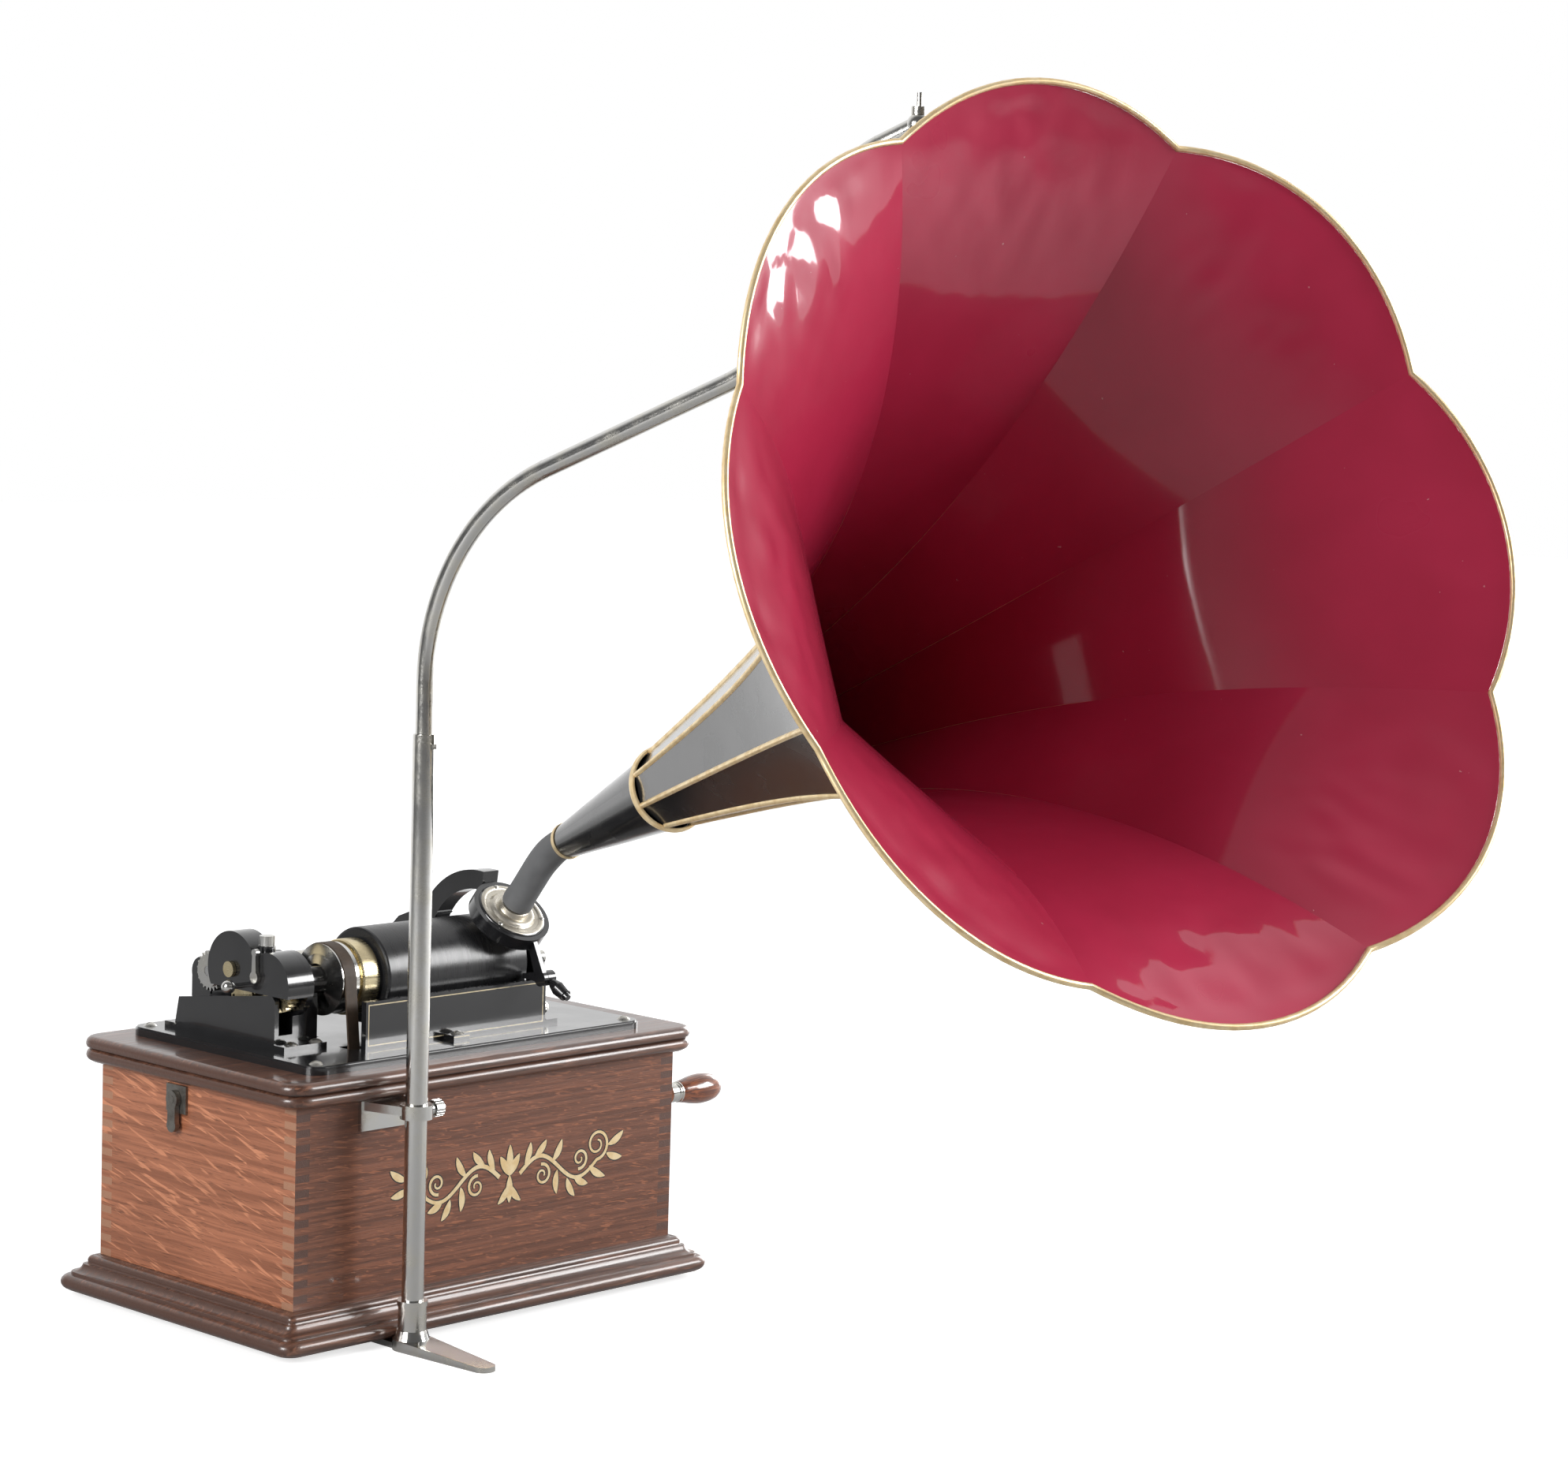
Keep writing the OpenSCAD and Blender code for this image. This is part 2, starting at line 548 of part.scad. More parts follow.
module gate_latch() color("#c9ccd0") {
    difference() {
        x_prism([gate_x + gate_t / 2 + air, gate_x + gate_t / 2 + 3.5]) {
            translate(latch_at) circle(4);
            polygon([[latch_at[0] - 3, latch_at[1]], [latch_at[0] + 3, latch_at[1]], [latch_at[0] + 1, deck + 8],
                [latch_at[0] - 3, deck + 8]]);
        }
        x_rod([gate_x, gate_x + 20], 1.8 + run, latch_at[0], latch_at[1]);
    }
    translate([gate_x + gate_t / 2 + 4, latch_at[0] - 1, deck + 7.5]) sphere(4);
}

// Mandrel and what turns with it
module mandrel() color("#1c1d1f") difference() {
    x_at(mandrel_x) cylinder(r1 = mandrel_r, r2 = mandrel_tip_r, h = mandrel_end - mandrel_x, $fn = 96);
    x_rod([mandrel_x - 1, mandrel_end + 1], shaft_r + seat, axis_y, axis_z);
    difference() {
        x_rod([mandrel_end - 8, mandrel_end + 1], mandrel_tip_r - 3, axis_y, axis_z);
        x_rod([mandrel_end - 9, mandrel_end + 2], shaft_r + 4, axis_y, axis_z);
    }
}
module x_at(x) { translate([x, axis_y, axis_z]) rotate([0, 90, 0]) children(); }
module mandrel_shaft() color("#c3c6ca") difference() {
    x_rod([gear_x[0] - 2, mandrel_end], shaft_r, axis_y, axis_z);
    translate([mandrel_end - 2.6, axis_y, axis_z]) rotate([0, 90, 0]) cylinder(r1 = 0.7, r2 = 2.9, h = 3.6);
}
module mandrel_pulley() color("#c3c6ca") x_at(0) rotate([0, 0, 0]) difference() {
    rotate_extrude() polygon([[0, pulley_x[0] - 1], [shaft_r + 6, pulley_x[0] - 1], [pulley_r - 5, pulley_x[0] + 0.5],
        [pulley_r + 0.8, pulley_x[0] + 1.6], [pulley_r + 0.8, pulley_x[0] + 2.4], [pulley_r, pulley_x[0] + 2.4],
        [pulley_r, pulley_x[1] - 2.4], [pulley_r + 0.8, pulley_x[1] - 2.4], [pulley_r + 0.8, pulley_x[1]], [0, pulley_x[1]]]);
    translate([0, 0, pulley_x[0] - 2]) cylinder(r = shaft_r + seat, h = 40);
}
module mandrel_collar() color("#b8913f") x_at(0) difference() {
    rotate_extrude() polygon([[0, pulley_x[1] + 0.2], [mandrel_r - 3, pulley_x[1] + 0.2], [mandrel_r - 3, collar_x],
        [mandrel_r - 0.6, collar_x], [mandrel_r, collar_x + 1], [mandrel_r, mandrel_x - 0.1], [0, mandrel_x - 0.1]]);
    translate([0, 0, pulley_x[1] - 1]) cylinder(r = shaft_r + seat, h = 40);
}
mandrel_a = heading([axis_y, axis_z], [idler_y, idler_z]);
module mandrel_gear() color("#b8913f") difference() {
    x_gear(gear_x, mandrel_teeth, mandrel_a, axis_y, axis_z);
    x_rod([gear_x[0] - 1, gear_x[1] + 1], shaft_r + seat, axis_y, axis_z);
}
function taper(x) = mandrel_r + (mandrel_tip_r - mandrel_r) * (x - mandrel_x) / (mandrel_end - mandrel_x);
module record() color("#141517") x_at(record_x) difference() {
    rotate_extrude($fn = 96) polygon([[0, 0], [record_r - 1.5, 0], [record_r - 0.3, 0.4], [record_r, 1.4],
        [record_r, record_l - 1], [record_r - 1, record_l], [0, record_l]]);
    translate([0, 0, -1]) cylinder(r1 = taper(record_x - 1) + 0.05, r2 = taper(record_x + record_l + 1) + 0.05,
        h = record_l + 2, $fn = 96);
}
idler_pin_r = 3;
idler_a = mesh(mandrel_a, mandrel_teeth, mandrel_a, idler_teeth);
feed_dir = heading([idler_y, idler_z], [feed_y, feed_z]);
module idler_gear() color("#b8913f") {
    x_gear(gear_x, idler_teeth, idler_a, idler_y, idler_z);
    x_rod([housing_x[0] - cover_t - 1, housing_x[1] - 3.4], idler_pin_r, idler_y, idler_z);
    x_rod([housing_x[0] - cover_t - 2.6, housing_x[0] - cover_t - air], 4.6, idler_y, idler_z);
}
module feed_gear() color("#c9ccd0") difference() {
    union() {
        x_gear(gear_x, feed_teeth, mesh(idler_a, idler_teeth, feed_dir, feed_teeth), feed_y, feed_z);
        x_rod([gear_x[0] - 1.6, gear_x[0] + 1], feed_teeth / 2 - root - 0.5, feed_y, feed_z);
    }
    x_rod([gear_x[0] - 3, gear_x[1] + 1], feed_r - 0.6 + seat, feed_y, feed_z);
}
module feed_screw() color("#c3c6ca") {
    x_rod([gear_x[0] - 1.4, gear_x[1] + 0.2], feed_r - 0.6, feed_y, feed_z);
    x_rod([gear_x[1] + 0.2, post_x[1] - 3.4], feed_r, feed_y, feed_z);
}

// Belt: an open loop round both pulleys, on their common tangents
belt_run = 0.08;
d_belt = [motor_y - axis_y, motor_z - axis_z];
belt_len = norm(d_belt);
belt_dir = atan2(d_belt[1], d_belt[0]);
belt_lean = acos((pulley_r - motor_pulley_r) / belt_len);
function on_ring(c, r, a) = c + r * [cos(a), sin(a)];
belt_steps = 30;
function belt_loop(g) = let (top = [axis_y, axis_z], low = [motor_y, motor_z], a = belt_dir + belt_lean, b = 360 - 2 * belt_lean)
    concat([for (k = [0:belt_steps]) on_ring(top, (pulley_r + g) / cos(b / belt_steps / 2), a + k * b / belt_steps)],
        [for (k = [0:belt_steps]) on_ring(low, (motor_pulley_r + g) / cos(belt_lean / belt_steps),
            belt_dir - belt_lean + k * 2 * belt_lean / belt_steps)]);
function belt_y(s) = let (u = (bed_z - axis_z) / (motor_z - axis_z), r = pulley_r + u * (motor_pulley_r - pulley_r))
    axis_y + u * (motor_y - axis_y) + s * r;
belt_sides = [belt_y(-1), belt_y(1)];
module belt() color("#2b2d30") difference() {
    x_prism([belt_x - belt_w / 2, belt_x + belt_w / 2]) polygon(belt_loop(belt_t + belt_run));
    x_prism([belt_x - belt_w, belt_x + belt_w]) polygon(belt_loop(belt_run));
}

// Motor: two plates hung from the bedplate, joined by pillars
pillars = [[-62, 48], [62, 48], [62, 126]];
bearings = [[motor_y, motor_z, 3], [barrel_y, barrel_z, 4], [gov_y, gov_z, 1.5], [crank_y, crank_z, crank_r]];
module frame_plate(x, mouth) difference() {
    x_prism([x, x + frame_t]) {
        polygon([[-68, bed_z], [-68, 96], [-68, 42], [-50, 36], [50, 36], [68, 42], [68, bed_z],
            [40, bed_z], [40, bed_z - 12], [-40, bed_z - 12], [-40, bed_z]]);
    }
    for (b = bearings) x_rod([x - 1, x + frame_t + 1], b[2] + run, b[0], b[1]);
    for (p = pillars) x_rod([x - 1, x + frame_t + 1], 3 + seat, p[0], p[1]);
}
module motor_frame() color("#8d8f90") {
    for (x = frame_x) frame_plate(x);
    for (p = pillars) {
        x_rod([frame_x[0] + frame_t, frame_x[1]], 5, p[0], p[1]);
        x_rod([frame_x[0] - 2, frame_x[1] + frame_t + 2], 3, p[0], p[1]);
    }
}
motor_a = heading([motor_y, motor_z], [barrel_y, barrel_z]);
great_a = mesh(motor_a, pinion_teeth, motor_a, great_teeth);
module spring_barrel() color("#a98a45") difference() {
    union() {
        x_gear(great_x, great_teeth, great_a, barrel_y, barrel_z);
        x_rod([great_x[1], barrel_x[1]], barrel_r, barrel_y, barrel_z);
    }
    x_rod([great_x[1] + 3, barrel_x[1] - 3], barrel_r - 3, barrel_y, barrel_z);
    x_rod([great_x[0] - 1, barrel_x[1] + 1], 4 + run, barrel_y, barrel_z);
}
arbor_a = heading([barrel_y, barrel_z], [crank_y, crank_z]);
module barrel_arbor() color("#b4b7ba") {
    x_rod([frame_x[0] - 1, frame_x[1] + frame_t + 1], 4, barrel_y, barrel_z);
    x_rod([great_x[1] + 6, barrel_x[1] - 6], 12, barrel_y, barrel_z);
    x_gear(wind_x, arbor_teeth, arbor_a, barrel_y, barrel_z);
}
wheel_a = heading([motor_y, motor_z], [gov_y, gov_z]);
module motor_shaft() color("#b4b7ba") {
    x_rod([pulley_x[0] - 2, frame_x[1] + frame_t + 1], 3, motor_y, motor_z);
    x_rod([pulley_x[0], pulley_x[1]], motor_pulley_r, motor_y, motor_z);
    x_gear([great_x[0] - 0.5, great_x[1] + 0.5], pinion_teeth, motor_a, motor_y, motor_z);
    x_gear(wheel_x, wheel_teeth, wheel_a, motor_y, motor_z);
}
gov_a = mesh(wheel_a, wheel_teeth, wheel_a, gov_teeth);
gov_ball = 5;
gov_reach = 13;
gov_hub = [-26, 12];
module governor() color("#b8913f") {
    x_rod([frame_x[0] - 1, frame_x[1] + frame_t + 1], 1.5, gov_y, gov_z);
    x_gear([wheel_x[0] - 0.5, wheel_x[1] + 0.5], gov_teeth, gov_a, gov_y, gov_z);
    x_rod([-38, -33], 15, gov_y, gov_z);
    for (x = gov_hub) x_rod([x, x + 6], gov_reach + 2.5, gov_y, gov_z);
    for (k = [0:2]) {
        ball = on_ring([gov_y, gov_z], gov_reach, 75 + k * 120);
        translate([(gov_hub[0] + gov_hub[1] + 6) / 2, ball[0], ball[1]]) rotate([0, 90, 0]) sphere(gov_ball);
        x_rod([gov_hub[0] + 3, gov_hub[1] + 3], 1, ball[0], ball[1]);
    }
}

// Crank: shaft with its pinion, arm and the pin that the knob turns on
wind_a = mesh(arbor_a, arbor_teeth, arbor_a, wind_teeth);
arm_t = 5;
knob_dir = [-crank_l * cos(1.4), crank_l * sin(1.4)];
knob_y = crank_y + knob_dir[0];
knob_z = crank_z + knob_dir[1];
module crank_arm() color("#b9bcc0") {
    x_rod([wind_x[0] - 8, arm_x + arm_t], crank_r, crank_y, crank_z);
    x_gear(wind_x, wind_teeth, wind_a, crank_y, crank_z);
    x_prism([arm_x, arm_x + arm_t]) {
        translate([crank_y, crank_z]) circle(9);
        translate([knob_y, knob_z]) circle(6);
        translate([crank_y, crank_z]) rotate(heading([crank_y, crank_z], [knob_y, knob_z]))
            polygon([[0, -6.5], [crank_l, -4.5], [crank_l, 4.5], [0, 6.5]]);
    }
    x_rod([arm_x, arm_x + arm_t + knob_l - 4], 2.5, knob_y, knob_z);
}
module crank_knob() color("#6a2f14") translate([arm_x + arm_t + air, knob_y, knob_z]) rotate([0, 90, 0]) difference() {
    rotate_extrude() intersection() {
        square([knob_r, knob_l]);
        translate([knob_r - 50, knob_l * 0.55]) circle(50, $fn = 180);
    }
    translate([0, 0, -1]) cylinder(r = 2.5 + run, h = knob_l - 3);
}

// Carriage frame: Z runs from the mandrel's axis through the reproducer
module tilted() { translate([carriage_x, axis_y, axis_z]) rotate([tilt, 0, 0]) children(); }
// A plain sleeve slides on the guide rod, and the carriage's knuckle turns on the sleeve
module carriage_sleeve() color("#b8913f") difference() {
    union() {
        x_rod(sleeve_x, guide_r + sleeve_wall, guide_y, guide_z);
        x_rod([sleeve_x[0] - 3, sleeve_x[0]], guide_r + sleeve_wall + 2, guide_y, guide_z);
    }
    x_rod([sleeve_x[0] - 4, sleeve_x[1] + 1], guide_r + run, guide_y, guide_z);
}
module arch_profile() {
    difference() {
        translate([axis_y, axis_z]) circle(arch_r[1]);
        translate([axis_y, axis_z]) circle(arch_r[0]);
        polygon([[axis_y - 80, axis_z - 80], [axis_y + 80, axis_z - 80], [axis_y + 80, axis_z + 18],
            [axis_y, axis_z + 10], on_ring([axis_y, axis_z], 90, 97), on_ring([axis_y, axis_z], 90, 140),
            [axis_y - 80, axis_z]]);
    }
    polygon([[axis_y + 34, axis_z + 24], [axis_y + 51, axis_z + 12], [guide_y - 2, guide_z + 3],
        [guide_y + knuckle_r - 2, guide_z + 3], [guide_y + 4, guide_z + knuckle_r], [guide_y - 9, axis_z + 18],
        [axis_y + 44, axis_z + 28]]);
}
module carriage() color("#17181a") {
    difference() {
        union() {
            tilted() translate([0, 0, eye_z[0]]) cylinder(r = eye_r, h = eye_z[1] - eye_z[0]);
            x_prism([carriage_x - arch_w / 2, carriage_x + arch_w / 2]) arch_profile();
            x_rod([sleeve_x[0] + air, sleeve_x[1]], knuckle_r, guide_y, guide_z);
            x_prism([lever_x[0] - air - 3, lever_x[0] - air]) {
                translate(lever_pivot) circle(4.6);
                polygon([lug_foot[0], lug_foot[1], lever_pivot + [4.2, 0.5], lever_pivot + [-4.2, 0.5]]);
            }
        }
        tilted() translate([0, 0, eye_z[0] - 20]) cylinder(r = reproducer_r + 0.1, h = 60);
        x_rod([sleeve_x[0] - 1, sleeve_x[1] + 1], guide_r + sleeve_wall + run, guide_y, guide_z);
    }
    x_rod([lever_x[0] - air - 3, lever_x[1] + 1.5], 1.6, lever_pivot[0], lever_pivot[1]);
    x_rod([lever_x[1] + air, lever_x[1] + 1.5], 2.8, lever_pivot[0], lever_pivot[1]);
}
nut_x = [24, 33];
module half_nut() color("#b8913f") difference() {
    union() {
        box(nut_x, [feed_y - 5, guide_y - knuckle_r + 1], [feed_z + 1, feed_z + 7]);
        x_rod(nut_x, knuckle_r + 1.2, guide_y, guide_z);
    }
    x_rod([nut_x[0] - 1, nut_x[1] + 1], feed_r + air, feed_y, feed_z);
    x_rod([nut_x[0] - 1, nut_x[1] + 1], knuckle_r + seat, guide_y, guide_z);
    box([nut_x[0] - 1, nut_x[1] + 1], [guide_y - 20, guide_y + 20], [guide_z - 20, guide_z - 2]);
}

// Reproducer: body, stepped top plate, neck and two ears that hold the weight's pin
weight_pivot = [15, 31.2];
module reproducer() color("#d6d2c6") tilted() difference() {
    union() {
        translate([0, 0, eye_z[0]]) cylinder(r = reproducer_r, h = eye_z[1] - eye_z[0]);
        translate([0, 0, eye_z[1]]) cylinder(r = reproducer_r - 1, h = 1.2);
        translate([0, 0, eye_z[1] + 1.2]) cylinder(r1 = 15, r2 = 13.5, h = 1);
        translate([0, 0, eye_z[1] + 2.2]) cylinder(r = neck_r + 2, h = 2);
        translate([0, 0, eye_z[1] + 4]) cylinder(r = neck_r, h = neck_top - eye_z[1] - 4);
        for (x = [-6.3, 4.3]) translate([x, weight_pivot[0] - 1.6, weight_pivot[1] - 1.4]) cube([2, 3.2, eye_z[0] - weight_pivot[1] + 1.5]);
    }
    translate([-10, weight_pivot[0], weight_pivot[1]]) rotate([0, 90, 0]) cylinder(r = 0.8 + run, h = 20);
    translate([0, 0, eye_z[0] + 3]) cylinder(r = neck_r - 1.5, h = 60);
}
module stylus_weight() color("#a7a9ab") tilted() {
    translate([-9, -13, 29.6]) cube([18, 26, 1.4]);
    translate([-6.5, weight_pivot[0], weight_pivot[1]]) rotate([0, 90, 0]) cylinder(r = 0.8, h = 13);
    translate([-3.8, 12, 29.7]) cube([7.6, 3.4, 1.2]);
    translate([0, 0, record_r + 0.15]) cylinder(r1 = 0.25, r2 = 0.8, h = 1.9);
}

// Lift lever: a pivoted link with a nose over the front plate and a turned handle
module lift_lever() color("#1d1f21") difference() {
    union() {
        x_rod([lever_x[0], lever_x[1]], 4.6, lever_pivot[0], lever_pivot[1]);
        x_prism([lever_x[0] + 1, lever_x[1] - 1]) polygon([lever_pivot + [0, 4], lever_pivot + [0, -4],
            [apron_y - 0.5, deck + apron_h + lever_gap], [apron_y + apron_t + 1.5, deck + apron_h + lever_gap],
            [apron_y + apron_t + 1.5, deck + apron_h + lever_gap + 3]]);
        translate([(lever_x[0] + lever_x[1]) / 2, lever_pivot[0], lever_pivot[1]]) rotate([118, 0, 0]) {
            translate([0, 0, 3.5]) cylinder(r = 2, h = 4.5);
            translate([0, 0, 6]) cylinder(r1 = 3, r2 = 4.4, h = 5);
            translate([0, 0, 11]) cylinder(r1 = 4.4, r2 = 3.6, h = 7);
            translate([0, 0, 17.5]) cylinder(r1 = 2.6, r2 = 2, h = 3);
        }
    }
    x_rod([lever_x[0] - 1, lever_x[1] + 1], 1.6 + run, lever_pivot[0], lever_pivot[1]);
}

// Places along the reproducer's and the horn's axes
reproducer_dir = [0, -sin(tilt), cos(tilt)];
bend_point = [carriage_x, axis_y, axis_z] + bend_at * reproducer_dir;
horn_dir = [-sin(horn_turn) * cos(horn_rise), -cos(horn_turn) * cos(horn_rise), sin(horn_rise)];
throat = bend_point + elbow_end * horn_dir;
module at_bend() { translate(bend_point) rotate([0, 0, -horn_turn]) rotate([90 - horn_rise, 0, 0]) children(); }
module horn_frame() { translate(throat) rotate([0, 0, -horn_turn]) rotate([90 - horn_rise, 0, 0]) children(); }

// Rubber elbow: two straight runs with a swelling where they meet, hollow for neck and horn
elbow_in = 4;
elbow_swell = 0.5;
module elbow_runs(r, swell, more) {
    tilted() translate([0, 0, elbow_start - more]) cylinder(r = r, h = bend_at - elbow_start + more);
    translate(bend_point) sphere(r + swell);
    at_bend() cylinder(r = r, h = elbow_end + elbow_in + more);
}
module elbow() color("#8b8f93") difference() {
    elbow_runs(elbow_r, elbow_swell, 0);
    elbow_runs(neck_r + seat, elbow_swell, 1);
}

// Horn profile: radius at a distance along the axis, and its slope
flare_lin = 62;
flare_exp = 3.5;
panel_t0 = throat_l + 3;
flare_pow = bell_r - panel_start_r - flare_lin;
function tau(t) = (t - panel_t0) / (horn_l - panel_t0);
function horn_r(t) = panel_start_r + flare_lin * tau(t) + flare_pow * pow(max(tau(t), 0), flare_exp);
function horn_slope(t) = (flare_lin + flare_exp * flare_pow * pow(max(tau(t), 0), flare_exp - 1)) / (horn_l - panel_t0);
// Height of a lobe across a panel, from 0 at a seam (q = -1 or 1) to 1 at its middle
function crown(q) = 1 - q * q;
rings = 13;
mouth_ring = 7;
across = 8;
sector = 45;
seam_a = 24.7;
tip_out = 9;
// Radius of a panel as a share of the seams': flat from seam to seam, and bulging into a petal towards the rim
flat = cos(sector / 2);
petal_exp = 12;
function gore(t, q) = flat / cos(q * sector / 2) + (1 - flat + lobe) * pow(min(tau(t), 1), petal_exp) * crown(q);
function ring_x(i) = 1 - pow(1 - i / rings, 1.4);
function ring_t(i) = panel_t0 + (horn_l - panel_t0) * ring_x(i);
function skin_t(t, q) = t + tip_out * crown(q) * pow(max(tau(t), 0), petal_exp);
function skin_r(t, q) = horn_r(skin_t(t, q)) * gore(skin_t(t, q), q);
function skin(t, q, a, off) = let (s = horn_slope(t), l = sqrt(1 + s * s), r = skin_r(t, q) + off / l)
    [r * cos(a), r * sin(a), skin_t(t, q) - off * s / l];
ring_end = 4;
gap_a = 0.06;
function panel_q(j) = -1 + 2 * j / across;
function panel_a(j) = panel_q(j) * (sector / 2 - gap_a);
function grid_faces(n, m, base, flip) = [for (i = [0:n - 1], j = [0:m - 1], h = [0, 1])
    let (a = base + i * (m + 1) + j, b = a + 1, c = a + m + 2, d = a + m + 1, f = h == 0 ? [a, b, c] : [a, c, d])
        flip ? [f[2], f[1], f[0]] : f];
// The diagonal of an edge's quad starts at its lower point, so two panels end to end share the same triangles
function edge_faces(list, shift) = [for (i = [0:len(list) - 2], h = [0, 1])
    let (a = list[i], b = list[i + 1]) a < b ? (h == 0 ? [a, b, b + shift] : [a, b + shift, a + shift])
        : (h == 0 ? [a, b, a + shift] : [b, b + shift, a + shift])];
module panel(first, last) {
    count = last - first;
    n = (count + 1) * (across + 1);
    row = across + 1;
    outer = [for (i = [first:last], j = [0:across]) skin(ring_t(i), panel_q(j), panel_a(j), 0)];
    inner = [for (i = [first:last], j = [0:across]) skin(ring_t(i), panel_q(j), panel_a(j), -sheet_t)];
    loop = concat([for (j = [0:across]) j], [for (i = [1:count]) i * row + across],
        [for (j = [across - 1:-1:0]) count * row + j], [for (i = [count - 1:-1:0]) i * row]);
    polyhedron(concat(outer, inner), concat(grid_faces(count, across, 0, true), grid_faces(count, across, n, false),
        edge_faces(loop, n)));
}
module panels(first, last) { horn_frame() for (k = [0:7]) rotate(seam_a + sector * (k + 0.5)) panel(first, last); }
// The bell's sheet in two rows of panels, the throat's and the mouth's
module horn_panels() color("#8f1230") panels(0, mouth_ring);
module horn_mouth() color("#8f1230") panels(mouth_ring, rings);

// Seams: a raised fold over each joint between panels, from just past the ring
seam_w = 1.7;
seam_h = 1.3;
function seam_t(i) = i == 0 ? throat_l + ring_end + 0.5 : i == rings ? horn_l - 0.5 : ring_t(i);
// The fold's foot stands clear of the panels' facets, more so where the petals rise steeply beside it
function foot(t) = 0.14 + 0.55 * pow(tau(t), petal_exp / 2);
function section(t) = [[-1, foot(t)], [0, 0.08], [1, foot(t)], [0.6, seam_h], [0, seam_h + 0.2], [-0.6, seam_h]];
module seam() {
    points = [for (i = [0:rings], p = section(seam_t(i))) let (t = seam_t(i), w = p[0] * seam_w / horn_r(t) * 180 / PI)
        skin(t, 1 - abs(w) / (sector / 2), w, p[1])];
    polyhedron(points, concat(
        [for (i = [0:rings - 1], j = [0:5], h = [0, 1]) let (a = i * 6 + j, b = i * 6 + (j + 1) % 6, c = b + 6, d = a + 6)
            h == 0 ? [a, c, b] : [a, d, c]],
        [for (j = [1:4]) [0, j, j + 1]], [for (j = [1:4]) [rings * 6, rings * 6 + j + 1, rings * 6 + j]]));
}
module horn_seams() color("#c79a4b") horn_frame() for (k = [0:7]) rotate(seam_a + sector * k) seam();

// Rim: a wire rolled along the lobed edge
module horn_rim() color("#c79a4b") horn_frame() {
    count = 8 * across;
    sides = 6;
    points = [for (k = [0:count - 1], j = [0:sides - 1])
        let (q = -1 + 2 * (k % across) / across, a = seam_a + k * 360 / count, p = skin(horn_l, q, a, -sheet_t / 2),
            d = [cos(a), sin(a), 0], s = (skin_r(horn_l, q) - skin_r(horn_l - 1, q)) / (skin_t(horn_l, q) - skin_t(horn_l - 1, q)),
            out = (rim_r + 0.05) / sqrt(1 + s * s))
        p + (out * s + rim_r * cos(j * 60)) * d + [0, 0, out + rim_r * sin(j * 60)]];
    polyhedron(points, [for (k = [0:count - 1], j = [0:sides - 1], h = [0, 1])
        let (a = k * sides + j, b = k * sides + (j + 1) % sides, c = ((k + 1) % count) * sides + (j + 1) % sides,
            d = ((k + 1) % count) * sides + j) h == 0 ? [a, c, b] : [a, d, c]]);
}
module horn_cone() color("#1a1b1d") horn_frame() rotate_extrude() polygon([[throat_r, 0], [throat_r + sheet_t, 0],
    [panel_start_r, throat_l], [panel_start_r - sheet_t, throat_l]]);
module horn_ring() color("#c79a4b") horn_frame() {
    rotate_extrude() polygon([[panel_start_r - 0.03, throat_l - 1], [panel_start_r + 1.4, throat_l - 0.6],
        [panel_start_r + 2.2, throat_l + 1.3], [panel_start_r + 1.5, throat_l + ring_end - 0.3],
        [panel_start_r + 0.8, throat_l + ring_end], [panel_start_r + 0.25, throat_l + ring_end]]);
    rotate_extrude() polygon([[throat_r + sheet_t + 0.02, 0], [throat_r + sheet_t + 0.9, 0],
        [throat_r + sheet_t + 0.9, 3], [throat_r + sheet_t + 0.5, 3]]);
}

// Eyelet square to the upper panel, straight under the crane's tip
eyelet_t = 400;
eyelet_a = 92.5;
ring_big = 6.5;
ring_wire = 1.4;
stem_l = 3;
function lobe_r(t) = horn_r(t) * gore(t, 0);
eyelet_slope = (lobe_r(eyelet_t + 1) - lobe_r(eyelet_t - 1)) / 2;
u_dir = [cos(horn_turn), -sin(horn_turn), 0];
v_dir = cross(horn_dir, u_dir);
out_dir = cos(eyelet_a) * u_dir + sin(eyelet_a) * v_dir;
eyelet_m = (out_dir - eyelet_slope * horn_dir) / sqrt(1 + pow(eyelet_slope, 2));
eyelet_c = throat + eyelet_t * horn_dir + lobe_r(eyelet_t) * out_dir + (stem_l + ring_big) * eyelet_m;
module torus(r, wire) { rotate_extrude() translate([r, 0]) circle(wire, $fn = 24); }
module horn_eyelet() color("#c79a4b") {
    horn_frame() rotate(eyelet_a) translate([lobe_r(eyelet_t), 0, eyelet_t]) rotate([0, 90 + atan(eyelet_slope), 0]) {
        translate([0, 0, 0.7]) cylinder(r = 1.9, h = stem_l - 0.5);
        translate([0, 0, 0.7]) cylinder(r = 4.5, h = 0.8);
    }
    translate(eyelet_c) rotate([0, 90, 0]) torus(ring_big, ring_wire);
}

